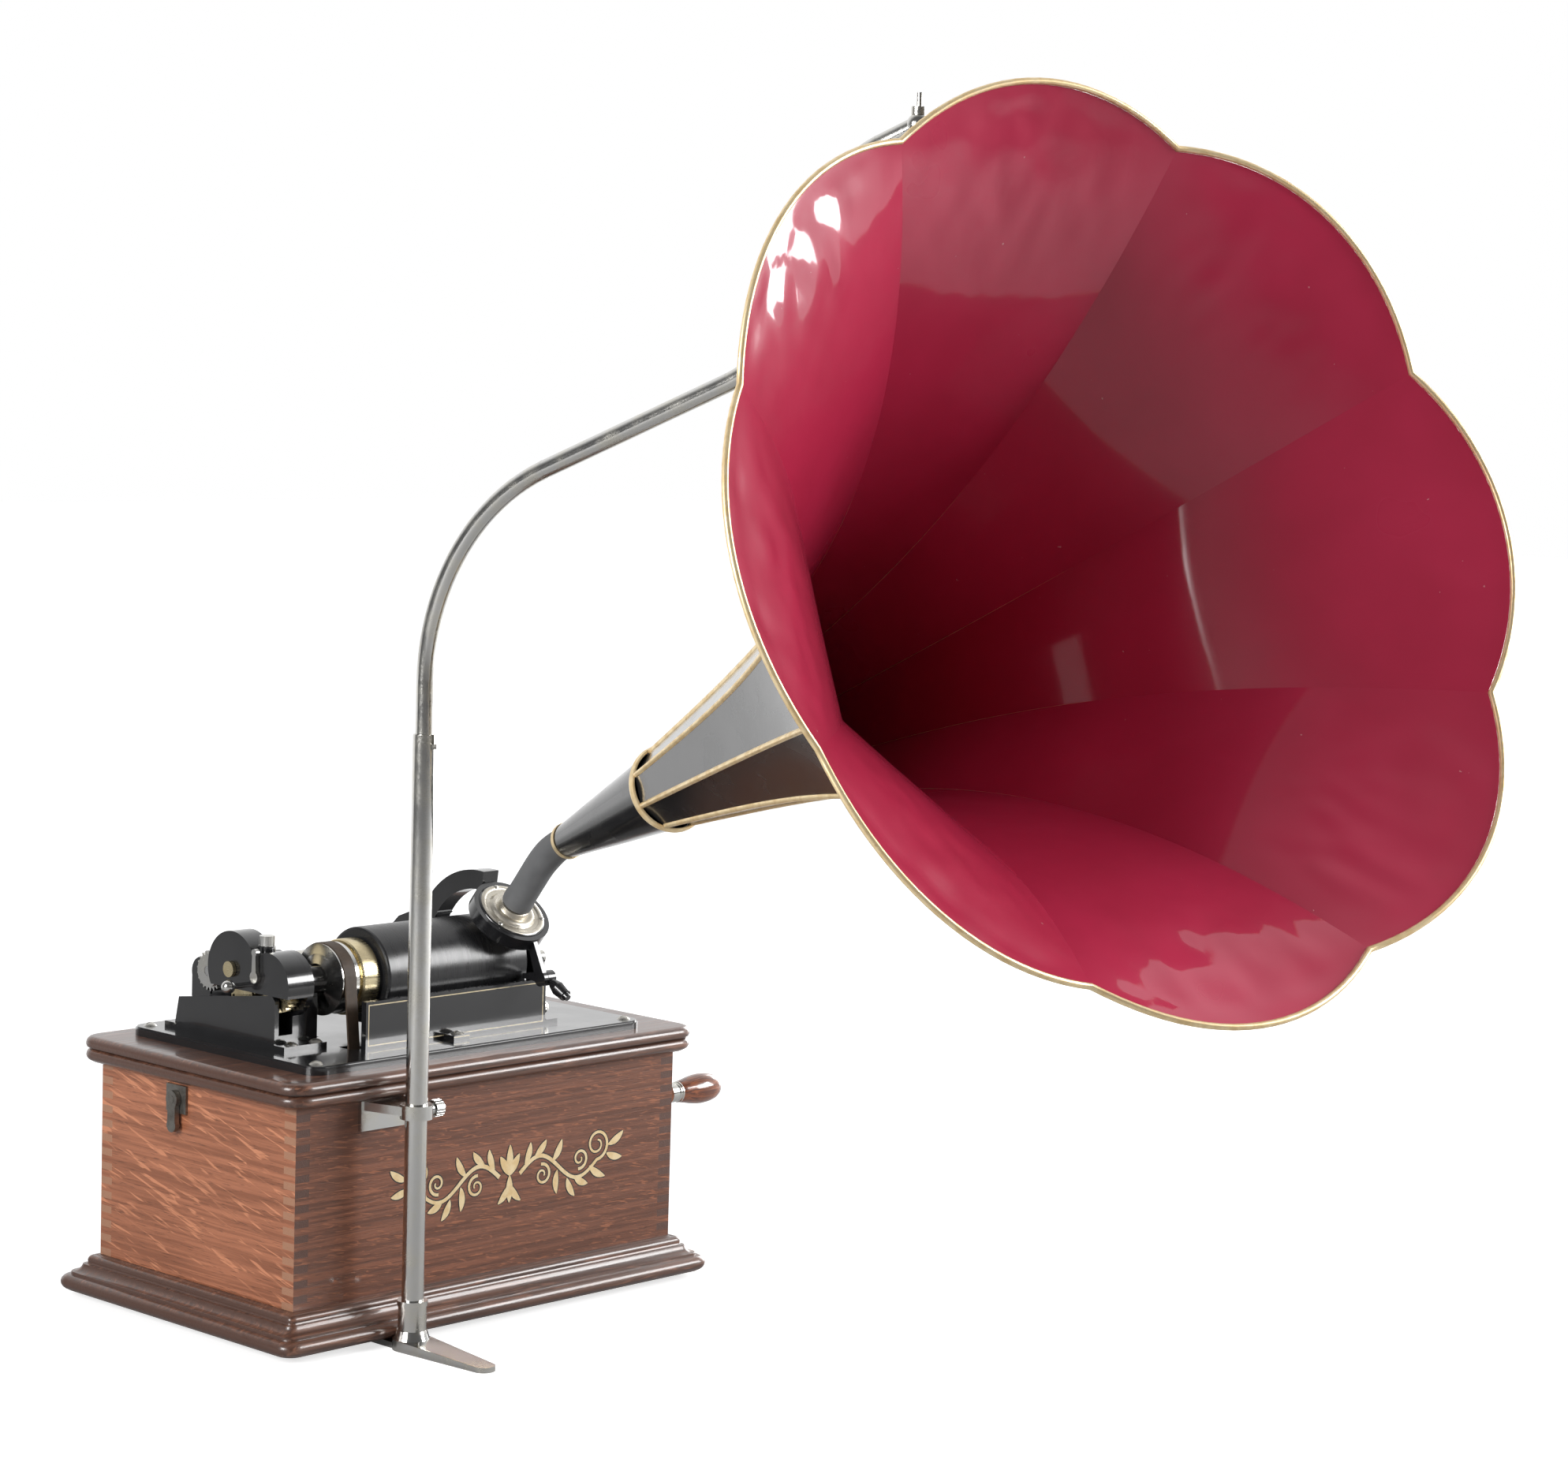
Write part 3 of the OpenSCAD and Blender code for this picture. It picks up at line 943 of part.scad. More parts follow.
// Crane: foot under the cabinet, tube, and a rod bent forward to stand over the eyelet
module crane_foot() color("#c3c6ca") difference() {
    union() {
        box([crane_x - 8, crane_x + 8], [crane_y, front_y + 2 * rail_w - 1], [0, crane_foot_t]);
        hull() {
            z_rod([0, 6], 11, crane_x, crane_y, $fn = 32);
            z_rod([0, 3], 6.5, crane_x, crane_y - 60, $fn = 32);
        }
        translate([crane_x, crane_y, 5]) cylinder(r1 = 10.5, r2 = tube_r + 2.2, h = 6);
        z_rod([10, 27], tube_r + 1.8, crane_x, crane_y);
        z_rod([25, 28], tube_r + 2.4, crane_x, crane_y);
    }
    z_rod([3, 40], tube_r + seat, crane_x, crane_y);
}
module crane_tube() color("#cfd1d4") difference() {
    z_rod([3.05, tube_top], tube_r, crane_x, crane_y);
    z_rod([3, tube_top + 1], rod_r + run, crane_x, crane_y);
    translate([crane_x, crane_y, 0]) rotate(reach_a)
        box([0, tube_r + 1], [-1.4, 1.4], [tube_top - crane_notch, tube_top + 1]);
}
reach = [eyelet_c[0] - crane_x, eyelet_c[1] - crane_y];
reach_a = atan2(reach[1], reach[0]);
p_bend = [bend_r * (1 - sin(swan_fwd)), bend_z + bend_r * cos(swan_fwd)];
p_run = p_bend + swan_run * [cos(swan_fwd), sin(swan_fwd)];
turn = swan_r * (sin(swan_up) - sin(swan_fwd));
rise = swan_r * (cos(swan_fwd) - cos(swan_up));
p_up = p_run + [turn, rise];
p_neck = p_up + swan_rise * [cos(swan_up), sin(swan_up)];
p_over = p_neck + [turn, rise];
tip_d = norm(reach);
p_tip = [tip_d, p_over[1] + (tip_d - p_over[0]) * tan(swan_fwd)];
module arc_rod(c, r, a0, a1) {
    translate([c[0], 0, c[1]]) rotate([90, 0, 0]) rotate(a0) rotate_extrude(angle = a1 - a0) translate([r, 0]) circle(rod_r);
}
module straight_rod(p, q, a) {
    translate([p[0], 0, p[1]]) rotate([0, 90 - a, 0]) cylinder(r = rod_r, h = norm(q - p));
}
hook_drop = 18;
hook_r = 4;
hook_wire = 1.2;
module sleeve_at(p, a) { translate([p[0], 0, p[1]]) rotate([0, 90 - a, 0]) translate([0, 0, -1]) cylinder(r = rod_r + 0.04, h = 2); }
module crane_rod() color("#d3d5d8") translate([crane_x, crane_y, 0]) rotate(reach_a) {
    z_rod([tube_top - 96, bend_z], rod_r, 0, 0);
    box([0, tube_r + 1.6], [-1.2, 1.2], [tube_top - crane_notch + 0.3, tube_top - crane_notch + 3]);
    arc_rod([bend_r, bend_z], bend_r, 90 + swan_fwd, 180);
    straight_rod(p_bend, p_run, swan_fwd);
    arc_rod(p_run + swan_r * [-sin(swan_fwd), cos(swan_fwd)], swan_r, swan_fwd - 90, swan_up - 90);
    straight_rod(p_up, p_neck, swan_up);
    arc_rod(p_neck + swan_r * [sin(swan_up), -cos(swan_up)], swan_r, 90 + swan_fwd, 90 + swan_up);
    straight_rod(p_over, p_tip, swan_fwd);
    sleeve_at([0, bend_z], 90);
    sleeve_at(p_bend, swan_fwd);
    sleeve_at(p_run, swan_fwd);
    sleeve_at(p_up, swan_up);
    sleeve_at(p_neck, swan_up);
    sleeve_at(p_over, swan_fwd);
    translate([p_tip[0], 0, p_tip[1]]) sphere(6.2);
    z_rod([p_tip[1] - hook_drop + hook_r, p_tip[1] + 16], 1.5, tip_d, 0);
    z_rod([p_tip[1] + 5, p_tip[1] + 9], 4, tip_d, 0);
    translate([tip_d, 0, p_tip[1] - hook_drop]) rotate([90, 0, 0]) torus(hook_r, hook_wire);
}

// Bracket under the top board, and the thumb screw that clamps the tube
bracket_z = lid_z - 6.5;
bracket_t = 5;
module crane_bracket() color("#c3c6ca") difference() {
    union() {
        box([crane_x - 17, crane_x + 15], [front_y - 2.4, front_y], [bracket_z - 12, bracket_z + bracket_t]);
        translate([0, 0, bracket_z]) linear_extrude(bracket_t) polygon([[crane_x - 16, front_y - 1], [crane_x + 14, front_y - 1],
            [crane_x + 8.5, crane_y], [crane_x - 8.5, crane_y]]);
        z_rod([bracket_z - 2, bracket_z + bracket_t + 1], tube_r + 3, crane_x, crane_y);
        x_rod([crane_x, crane_x + tube_r + 5], 3.6, crane_y, bracket_z + 2);
    }
    z_rod([bracket_z - 20, bracket_z + 20], tube_r + seat, crane_x, crane_y);
    x_rod([crane_x, crane_x + 30], 1.8 + run, crane_y, bracket_z + 2);
}
module crane_screw() color("#d3d5d8") {
    x_rod([crane_x + tube_r + 0.2, crane_x + tube_r + 8], 1.8, crane_y, bracket_z + 2);
    difference() {
        x_rod([crane_x + tube_r + 5 + air, crane_x + tube_r + 11], 5, crane_y, bracket_z + 2);
        for (k = [0:17]) translate([0, crane_y, bracket_z + 2]) rotate([k * 20, 0, 0])
            x_rod([crane_x + tube_r + 5, crane_x + tube_r + 12], 0.4, 0, 5.1);
    }
}

// Chain: oval links between the crane's hook and a ring through the eyelet
low_ring = 6.5;
low_wire = 1.2;
slack = 0.3;
hook_low = p_tip[1] - hook_drop - hook_r;
chain_top = hook_low + hook_wire + link_wire + slack;
ring_z = eyelet_c[2] + ring_big;
chain_low = ring_z + low_ring - low_wire - link_wire - slack;
pitch = (chain_top - chain_low - 2 * link_wire - slack) / chain_links;
module link(l) {
    w = 2.6;
    for (s = [-1, 1]) {
        translate([0, 0, s * (l / 2 - w)]) rotate([90, 0, 0]) rotate(s > 0 ? 0 : 180)
            rotate_extrude(angle = 180) translate([w, 0]) circle(link_wire, $fn = 16);
        translate([s * w, 0, w - l / 2 - 0.1]) cylinder(r = link_wire + 0.02, h = l - 2 * w + 0.2, $fn = 16);
    }
}
module hanger_chain() color("#b9bcc0") translate([eyelet_c[0], eyelet_c[1], 0]) {
    l = pitch + 2 * link_wire + slack;
    for (i = [0:chain_links - 1]) translate([0, 0, chain_top - l / 2 - i * pitch])
        rotate(reach_a + (i % 2 == 0 ? 90 : 0)) link(l);
    translate([0, 0, ring_z]) rotate([90, 0, 0]) torus(low_ring, low_wire);
}

base_moulding();
bottom_board();
front_wall();
back_wall();
left_wall();
right_wall();
top_board();
rear_hinges();
catch_plate();
catch_lever();
crank_escutcheon();
bedplate();
machine_screws();
gear_housing();
gear_cover();
right_post();
guide_rod();
apron();
end_gate();
gate_latch();
start_lever();
shift_knob();
speed_screw();
mandrel();
mandrel_shaft();
mandrel_pulley();
mandrel_collar();
mandrel_gear();
record();
idler_gear();
feed_screw();
feed_gear();
belt();
motor_frame();
spring_barrel();
barrel_arbor();
motor_shaft();
governor();
crank_arm();
crank_knob();
carriage_sleeve();
carriage();
half_nut();
reproducer();
stylus_weight();
lift_lever();
elbow();
horn_cone();
horn_panels();
horn_mouth();
horn_seams();
horn_ring();
horn_rim();
horn_eyelet();
crane_foot();
crane_tube();
crane_rod();
crane_bracket();
crane_screw();
hanger_chain();
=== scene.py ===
"""Looks of the cylinder phonograph: materials, finer meshes over the CAD frame, floor, lights and camera."""
import json
import math

import bpy
from mathutils import Matrix, Vector, noise


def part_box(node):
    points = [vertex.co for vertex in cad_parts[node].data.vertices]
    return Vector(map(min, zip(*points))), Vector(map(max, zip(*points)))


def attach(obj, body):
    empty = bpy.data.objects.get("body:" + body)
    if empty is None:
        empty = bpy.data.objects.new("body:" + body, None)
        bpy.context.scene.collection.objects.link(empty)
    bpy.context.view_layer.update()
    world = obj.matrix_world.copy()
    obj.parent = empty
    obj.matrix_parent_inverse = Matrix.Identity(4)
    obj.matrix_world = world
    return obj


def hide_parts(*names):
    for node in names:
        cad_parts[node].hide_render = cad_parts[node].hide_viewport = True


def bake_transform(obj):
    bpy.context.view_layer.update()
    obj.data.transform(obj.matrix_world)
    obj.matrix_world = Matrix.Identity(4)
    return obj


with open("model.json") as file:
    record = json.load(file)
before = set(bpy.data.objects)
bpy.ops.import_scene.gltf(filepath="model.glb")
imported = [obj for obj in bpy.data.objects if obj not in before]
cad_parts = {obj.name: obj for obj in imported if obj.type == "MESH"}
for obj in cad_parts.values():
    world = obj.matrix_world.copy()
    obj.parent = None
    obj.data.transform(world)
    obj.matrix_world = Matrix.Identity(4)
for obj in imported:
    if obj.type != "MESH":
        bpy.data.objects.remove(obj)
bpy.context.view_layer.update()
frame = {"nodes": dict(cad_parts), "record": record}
MM = 0.001

# Camera at the photograph's viewing angle, in degrees, metres and millimetres of lens
CAMERA_ANGLES = (-46.673, 5.705, 1.730)
CAMERA_PLACE = Vector((-1.4516, -1.6800, 0.5569))
CAMERA_LENS = 86.53


def camera_axes(azimuth, elevation, roll):
    """Right, up and back of a camera, for angles in degrees."""
    a, e, r = (math.radians(v) for v in (azimuth, elevation, roll))
    back = Vector((math.sin(a) * math.cos(e), -math.cos(a) * math.cos(e), math.sin(e)))
    right = Vector((math.cos(a), math.sin(a), 0))
    up = right.cross(-back)
    return math.cos(r) * right + math.sin(r) * up, math.cos(r) * up - math.sin(r) * right, back


def make_camera():
    """The scene's camera, and the direction from the object towards it."""
    right, up, back = camera_axes(*CAMERA_ANGLES)
    data = bpy.data.cameras.new("camera")
    data.sensor_fit = "HORIZONTAL"
    data.sensor_width = 36
    data.lens = CAMERA_LENS
    data.clip_end = 50
    camera = bpy.data.objects.new("camera", data)
    bpy.context.scene.collection.objects.link(camera)
    turn = Matrix((right, up, back)).transposed().to_4x4()
    camera.matrix_world = Matrix.Translation(CAMERA_PLACE) @ turn
    bpy.context.scene.camera = camera
    return camera, back


camera, camera_back = make_camera()


# Node materials
class Paint:
    """A Principled material and short calls for its nodes. Sizes of a texture's features are in metres."""

    def __init__(self, name, base=(0.5, 0.5, 0.5), metallic=0.0, rough=0.5, coat=0.0, coat_rough=0.1,
                 specular=0.5):
        self.material = bpy.data.materials.new(name)
        self.material.use_nodes = True
        self.tree = self.material.node_tree
        self.shader = self.tree.nodes["Principled BSDF"]
        self.place = self.tree.nodes.new("ShaderNodeTexCoord")
        values = self.shader.inputs
        values["Base Color"].default_value = (*base, 1)
        values["Metallic"].default_value = metallic
        values["Roughness"].default_value = rough
        values["Coat Weight"].default_value = coat
        values["Coat Roughness"].default_value = coat_rough
        values["Specular IOR Level"].default_value = specular
        self.material.diffuse_color = (*base, 1)

    def add(self, kind, **settings):
        node = self.tree.nodes.new("ShaderNode" + kind)
        for key, value in settings.items():
            setattr(node, key, value)
        return node

    def put(self, socket, value):
        """Links a socket, or sets its value."""
        if isinstance(value, bpy.types.NodeSocket):
            self.tree.links.new(value, socket)
        elif socket.type == "RGBA":
            socket.default_value = (*value, 1) if len(value) == 3 else value
        else:
            socket.default_value = value

    def where(self, size, turn=(0, 0, 0)):
        """Object coordinates, turned and divided by a feature size along each axis."""
        node = self.add("Mapping", vector_type="TEXTURE")
        self.put(node.inputs["Vector"], self.place.outputs["Object"])
        node.inputs["Rotation"].default_value = [math.radians(a) for a in turn]
        node.inputs["Scale"].default_value = size if hasattr(size, "__len__") else (size, size, size)
        return node.outputs["Vector"]

    def noise(self, size, detail=3.0, turn=(0, 0, 0), distortion=0.0, roughness=0.5):
        node = self.add("TexNoise")
        self.put(node.inputs["Vector"], self.where(size, turn))
        node.inputs["Scale"].default_value = 1
        node.inputs["Detail"].default_value = detail
        node.inputs["Roughness"].default_value = roughness
        node.inputs["Distortion"].default_value = distortion
        return node.outputs["Fac"]

    def span(self, value, low, high, to_low=0.0, to_high=1.0):
        """A value remapped from low..high, smoothly and with its ends held."""
        node = self.add("MapRange", interpolation_type="SMOOTHSTEP")
        self.put(node.inputs["Value"], value)
        for key, number in (("From Min", low), ("From Max", high), ("To Min", to_low), ("To Max", to_high)):
            self.put(node.inputs[key], number)
        return node.outputs["Result"]

    def mix(self, factor, first, second, blend="MIX"):
        node = self.add("Mix", data_type="RGBA", blend_type=blend)
        self.put(node.inputs[0], factor)
        self.put(node.inputs[6], first)
        self.put(node.inputs[7], second)
        return node.outputs[2]

    def maths(self, operation, first, second=0.0):
        node = self.add("Math", operation=operation)
        self.put(node.inputs[0], first)
        self.put(node.inputs[1], second)
        return node.outputs[0]

    def axis(self, name, kind="Object"):
        """One coordinate of the object, or of its normal."""
        node = self.add("SeparateXYZ")
        self.put(node.inputs[0], self.place.outputs[kind])
        return node.outputs[name]

    def bump(self, height, distance, strength=1.0):
        node = self.add("Bump")
        self.put(node.inputs["Height"], height)
        node.inputs["Distance"].default_value = distance
        node.inputs["Strength"].default_value = strength
        self.put(self.shader.inputs["Normal"], node.outputs["Normal"])

    def color(self, value):
        self.put(self.shader.inputs["Base Color"], value)

    def rough(self, value):
        self.put(self.shader.inputs["Roughness"], value)


def oak(name, grain, dark, light, fleck, end, slant=0.0, coat=0.5, coat_rough=0.12, fleck_size=(0.034, 0.0034)):
    """Stained oak with its grain along X or Y: streaks, open pores, ray flecks and darker end grain."""
    paint = Paint(name, light, rough=0.42, coat=coat, coat_rough=coat_rough)

    def size(along, across):
        return (along, across, across) if grain == "X" else (across, along, across)

    turn = (0, slant, 0) if grain == "X" else (slant, 0, 0)
    streaks = paint.noise(size(0.11, 0.0022), 5.0, distortion=0.4)
    broad = paint.noise(size(0.2, 0.03), 2.0)
    pores = paint.noise(size(0.011, 0.00055), 2.0)
    rays = paint.noise(size(*fleck_size), 2.0, turn, distortion=0.9)
    color = paint.mix(paint.span(streaks, 0.36, 0.64), dark, light)
    color = paint.mix(paint.span(broad, 0.35, 0.7, 0.0, 0.45), color, dark)
    color = paint.mix(paint.span(rays, 0.56, 0.68, 0.0, 0.85), color, fleck)
    color = paint.mix(paint.span(pores, 0.6, 0.7, 0.0, 0.6), color, [v * 0.35 for v in dark])
    facing = paint.maths("ABSOLUTE", paint.axis(grain, "Normal"))
    color = paint.mix(paint.span(facing, 0.6, 0.9), color, end)
    paint.color(color)
    paint.rough(paint.span(streaks, 0.3, 0.7, 0.34, 0.5))
    paint.bump(paint.maths("SUBTRACT", streaks, pores), 0.00025, 0.5)
    return paint.material


def enamel(name, base, rough=0.2, coat=0.8, coat_rough=0.06, worn=None):
    """Gloss enamel or japan: faint mottling, orange peel, and worn spots if a colour is given for them."""
    paint = Paint(name, base, rough=rough, coat=coat, coat_rough=coat_rough)
    cloud = paint.noise(0.03, 3.0)
    color = paint.mix(paint.span(cloud, 0.3, 0.7), [v * 0.85 for v in base], [v * 1.12 for v in base])
    if worn:
        spots = paint.noise(0.006, 6.0, roughness=0.7)
        color = paint.mix(paint.span(spots, 0.7, 0.78, 0.0, 0.5), color, worn)
    paint.color(color)
    paint.rough(paint.span(cloud, 0.3, 0.7, rough * 0.8, rough * 1.3))
    paint.bump(paint.noise(0.004, 2.0), 0.0001, 0.35)
    return paint.material


def metal(name, base, rough=0.2, tarnish=None, scratch=0.35, size=(0.02, 0.0006, 0.0006)):
    """Plated or bare metal: uneven polish, fine scratches and some tarnish."""
    paint = Paint(name, base, metallic=1.0, rough=rough)
    cloud = paint.noise(0.012, 4.0)
    lines = paint.noise(size, 3.0)
    color = paint.mix(paint.span(cloud, 0.35, 0.75), base, tarnish or [v * 0.8 for v in base])
    paint.color(color)
    smudged = paint.span(cloud, 0.3, 0.7, 0.0, rough * 0.6)
    scratched = paint.span(lines, 0.4, 0.7, 0.0, rough * 0.5)
    paint.rough(paint.maths("ADD", paint.maths("ADD", smudged, scratched), rough * 0.6))
    paint.bump(lines, 0.00005, scratch)
    return paint.material


GROOVE_PITCH = 0.0005


def wax_material():
    """Black record: fine grooves round the mandrel's axis, slightly uneven along it."""
    paint = Paint("wax", (0.012, 0.012, 0.013), rough=0.3, specular=0.55)
    x = paint.axis("X")
    groove = paint.maths("SINE", paint.maths("MULTIPLY", x, 2 * math.pi / GROOVE_PITCH))
    band = paint.noise((0.004, 10, 10), 3.0)
    paint.color(paint.mix(band, (0.010, 0.010, 0.011), (0.020, 0.020, 0.021)))
    paint.rough(paint.span(band, 0.35, 0.65, 0.26, 0.3))
    paint.bump(groove, 0.000008, 0.2)
    return paint.material


def rubber_material():
    paint = Paint("grey_rubber", (0.13, 0.132, 0.135), rough=0.62, specular=0.35)
    cloud = paint.noise(0.01, 4.0)
    paint.color(paint.mix(cloud, (0.1, 0.102, 0.105), (0.165, 0.167, 0.17)))
    paint.rough(paint.span(cloud, 0.3, 0.7, 0.52, 0.72))
    paint.bump(paint.noise(0.0008, 3.0), 0.0001, 0.4)
    return paint.material


def leather_material():
    paint = Paint("belt_leather", (0.05, 0.032, 0.02), rough=0.6)
    cloud = paint.noise(0.004, 5.0)
    paint.color(paint.mix(cloud, (0.03, 0.02, 0.013), (0.085, 0.055, 0.035)))
    paint.bump(cloud, 0.0002, 0.5)
    return paint.material


def turned_wood_material():
    """Glossy red-brown turned wood, its grain along the knob."""
    paint = Paint("turned_wood", (0.2, 0.055, 0.018), rough=0.3, coat=1.0, coat_rough=0.05)
    streaks = paint.noise((0.03, 0.0011, 0.0011), 4.0, distortion=0.5)
    paint.color(paint.mix(paint.span(streaks, 0.35, 0.65), (0.1, 0.024, 0.009), (0.3, 0.085, 0.026)))
    paint.bump(streaks, 0.00008, 0.3)
    return paint.material


def gold_material():
    """Gold paint over enamel."""
    paint = Paint("horn_gold", (0.84, 0.62, 0.33), metallic=0.55, rough=0.34)
    cloud = paint.noise(0.006, 4.0)
    paint.color(paint.mix(paint.span(cloud, 0.35, 0.7), (0.9, 0.72, 0.44), (0.74, 0.54, 0.28)))
    paint.rough(paint.span(cloud, 0.3, 0.7, 0.28, 0.42))
    paint.bump(paint.noise(0.0015, 3.0), 0.00008, 0.4)
    return paint.material


def crimson_material():
    """Crimson enamel inside the bell, with a slightly wavy gloss and a few chips."""
    paint = Paint("horn_crimson", (0.46, 0.024, 0.07), rough=0.4, coat=0.9, coat_rough=0.06, specular=0.2)
    cloud = paint.noise(0.09, 3.0)
    chips = paint.noise(0.0035, 2.0)
    color = paint.mix(paint.span(cloud, 0.2, 0.8), (0.49, 0.026, 0.076), (0.4, 0.019, 0.056))
    paint.color(paint.mix(paint.span(chips, 0.78, 0.8, 0.0, 0.7), color, (0.6, 0.3, 0.32)))
    paint.rough(paint.span(cloud, 0.15, 0.85, 0.26, 0.36))
    wave = paint.noise(0.03, 2.0)
    paint.bump(wave, 0.0006, 0.35)
    return paint.material


LINE_INSET = 0.0021


def pinstripe_material(x_span, z_span):
    """Black japan with a cream line just inside the edges of the front face."""
    base = (0.009, 0.009, 0.01)
    paint = Paint("pinstriped", base, rough=0.2, coat=0.8, coat_rough=0.06)
    edges = []
    for name, (a, b) in (("X", x_span), ("Z", z_span)):
        place = paint.axis(name)
        from_low, from_high = paint.maths("SUBTRACT", place, a), paint.maths("SUBTRACT", b, place)
        edges.append(paint.maths("MINIMUM", from_low, from_high))
    inset = paint.maths("MINIMUM", edges[0], edges[1])
    off = paint.maths("ABSOLUTE", paint.maths("SUBTRACT", inset, LINE_INSET))
    line = paint.span(off, 0.00022, 0.00042, 1.0, 0.0)
    front = paint.span(paint.axis("Y", "Normal"), -0.95, -0.8, 1.0, 0.0)
    worn = paint.span(paint.noise(0.005, 4.0), 0.3, 0.5, 0.55, 1.0)
    strength = paint.maths("MULTIPLY", paint.maths("MULTIPLY", line, front), worn)
    paint.color(paint.mix(strength, base, (0.62, 0.52, 0.33)))
    paint.bump(paint.noise(0.004, 2.0), 0.0001, 0.3)
    return paint.material


# The front plate's face ends short of the post that is part of the same node
plate_low, plate_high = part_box("apron")
PLATE_X = (-0.073, 0.066)
plate_z = (plate_low[2], plate_high[2])
materials = {
    "dark_oak": oak("dark_oak", "X", (0.062, 0.026, 0.016), (0.15, 0.064, 0.038), (0.21, 0.092, 0.055),
        (0.075, 0.032, 0.02), coat=0.7, coat_rough=0.14),
    # The side and front oaks are lit and shaded copies of one oak: the side walls' lighter colour is painted
    # light, the front and back walls' darker colour is painted shade
    "side_oak": oak("side_oak", "Y", (0.24, 0.082, 0.038), (0.41, 0.152, 0.076), (0.58, 0.235, 0.12),
        (0.09, 0.036, 0.022), slant=15.0),
    "shaded_front_oak": oak("shaded_front_oak", "X", (0.115, 0.039, 0.019), (0.21, 0.07, 0.032), (0.31, 0.107, 0.047),
        (0.34, 0.17, 0.1), slant=6.0, coat=0.3, coat_rough=0.08, fleck_size=(0.012, 0.0014)),
    "plain_wood": oak("plain_wood", "X", (0.16, 0.08, 0.04), (0.28, 0.15, 0.08), (0.34, 0.19, 0.1),
        (0.14, 0.07, 0.035), coat=0.0),
    "turned_wood": turned_wood_material(),
    "japanned": enamel("japanned", (0.010, 0.010, 0.011), worn=(0.05, 0.045, 0.04)),
    "pinstriped": pinstripe_material(PLATE_X, plate_z),
    "nickel": metal("nickel", (0.66, 0.655, 0.64), 0.17, (0.68, 0.66, 0.6)),
    "satin_nickel": metal("satin_nickel", (0.6, 0.585, 0.55), 0.32, (0.4, 0.38, 0.34)),
    "brass": metal("brass", (0.78, 0.67, 0.43), 0.28, (0.56, 0.46, 0.28)),
    "steel": metal("steel", (0.62, 0.62, 0.62), 0.25),
    "dull_nickel": metal("dull_nickel", (0.3, 0.285, 0.26), 0.4, (0.14, 0.125, 0.11)),
    "warm_nickel": metal("warm_nickel", (0.66, 0.62, 0.54), 0.38, (0.48, 0.44, 0.37)),
    "iron": metal("iron", (0.42, 0.42, 0.41), 0.42, (0.3, 0.28, 0.26)),
    "belt_leather": leather_material(),
    "wax": wax_material(),
    "grey_rubber": rubber_material(),
    "horn_black": enamel("horn_black", (0.014, 0.014, 0.015), rough=0.24, coat=1.0, coat_rough=0.12),
    "horn_crimson": crimson_material(),
    "horn_gold": gold_material(),
}

slot_of = {part["node"]: part["material_slot"] for part in frame["record"]["subparts"]}
# Nodes with a finish of their own within their slot; the front and back walls take the shaded copy of the oak,
# painted shade
VARIANTS = {"front_wall": "shaded_front_oak", "back_wall": "shaded_front_oak", "catch_plate": "dull_nickel",
            "catch_lever": "dull_nickel"}


def smooth(mesh, degrees=35):
    """Smooth shading with sharp edges above an angle."""
    mesh.shade_smooth()
    mesh.set_sharp_from_angle(angle=math.radians(degrees))


def bevel(thing, width, segments=2, angle=40):
    """Rounds the sharp edges of a piece a little."""
    step = thing.modifiers.new("edges", "BEVEL")
    step.width = width * MM
    step.segments = segments
    step.limit_method = "ANGLE"
    step.angle_limit = math.radians(angle)
    step.harden_normals = True
    return step


# Widths of the bevels on carried-over nodes, in millimetres
EDGES = {
    "front_wall": 0.25, "back_wall": 0.25, "left_wall": 0.25, "right_wall": 0.25, "bedplate": 0.4,
    "gear_housing": 0.8, "right_post": 0.7, "apron": 0.5, "end_gate": 0.5, "gate_latch": 0.4,
    "start_lever": 0.4, "catch_plate": 0.4, "catch_lever": 0.5, "crank_arm": 0.6, "crane_bracket": 0.5,
    "rear_hinges": 0.25, "crank_escutcheon": 0.5, "half_nut": 0.4, "carriage_sleeve": 0.4, "motor_frame": 0.3,
}
for name, thing in frame["nodes"].items():
    key = VARIANTS.get(name, slot_of[name])
    thing.data.materials.clear()
    thing.data.materials.append(materials[key])
    smooth(thing.data)
    if name in EDGES:
        bevel(thing, EDGES[name])


# Mesh helpers; sizes in millimetres
def piece(name, points, faces, body, slot, extra=(), sharp=35):
    """A mesh piece from points in millimetres, riding on a body. extra holds more materials for its faces."""
    mesh = bpy.data.meshes.new(name)
    mesh.from_pydata([Vector(p) * MM for p in points], [], faces)
    mesh.validate()
    mesh.materials.append(materials[slot])
    for key in extra:
        mesh.materials.append(materials[key])
    thing = bpy.data.objects.new(name, mesh)
    bpy.context.scene.collection.objects.link(thing)
    smooth(mesh, sharp)
    if body:
        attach(thing, body)
    return thing


def rings_faces(count, around, closed=True, base=0, loop=False):
    """Quads between rings of points that follow each other."""
    faces = []
    last = count if loop else count - 1
    for i in range(last):
        for j in range(around if closed else around - 1):
            a = base + i * around + j
            b = base + i * around + (j + 1) % around
            c = base + ((i + 1) % count) * around + (j + 1) % around
            d = base + ((i + 1) % count) * around + j
            faces.append((a, b, c, d))
    return faces


def lathe(profile, frame_matrix, around=64):
    """Points and faces of a profile (radius, height) turned round the Z axis of a frame."""
    points = []
    for r, z in profile:
        for k in range(around):
            a = 2 * math.pi * k / around
            points.append(frame_matrix @ Vector((r * math.cos(a), r * math.sin(a), z)))
    return points, rings_faces(len(profile), around)


def arc(center, radius, first, last, steps):
    """Points of an arc in a plane, with angles in degrees."""
    points = []
    for k in range(steps + 1):
        a = math.radians(first + (last - first) * k / steps)
        points.append((center[0] + radius * math.cos(a), center[1] + radius * math.sin(a)))
    return points


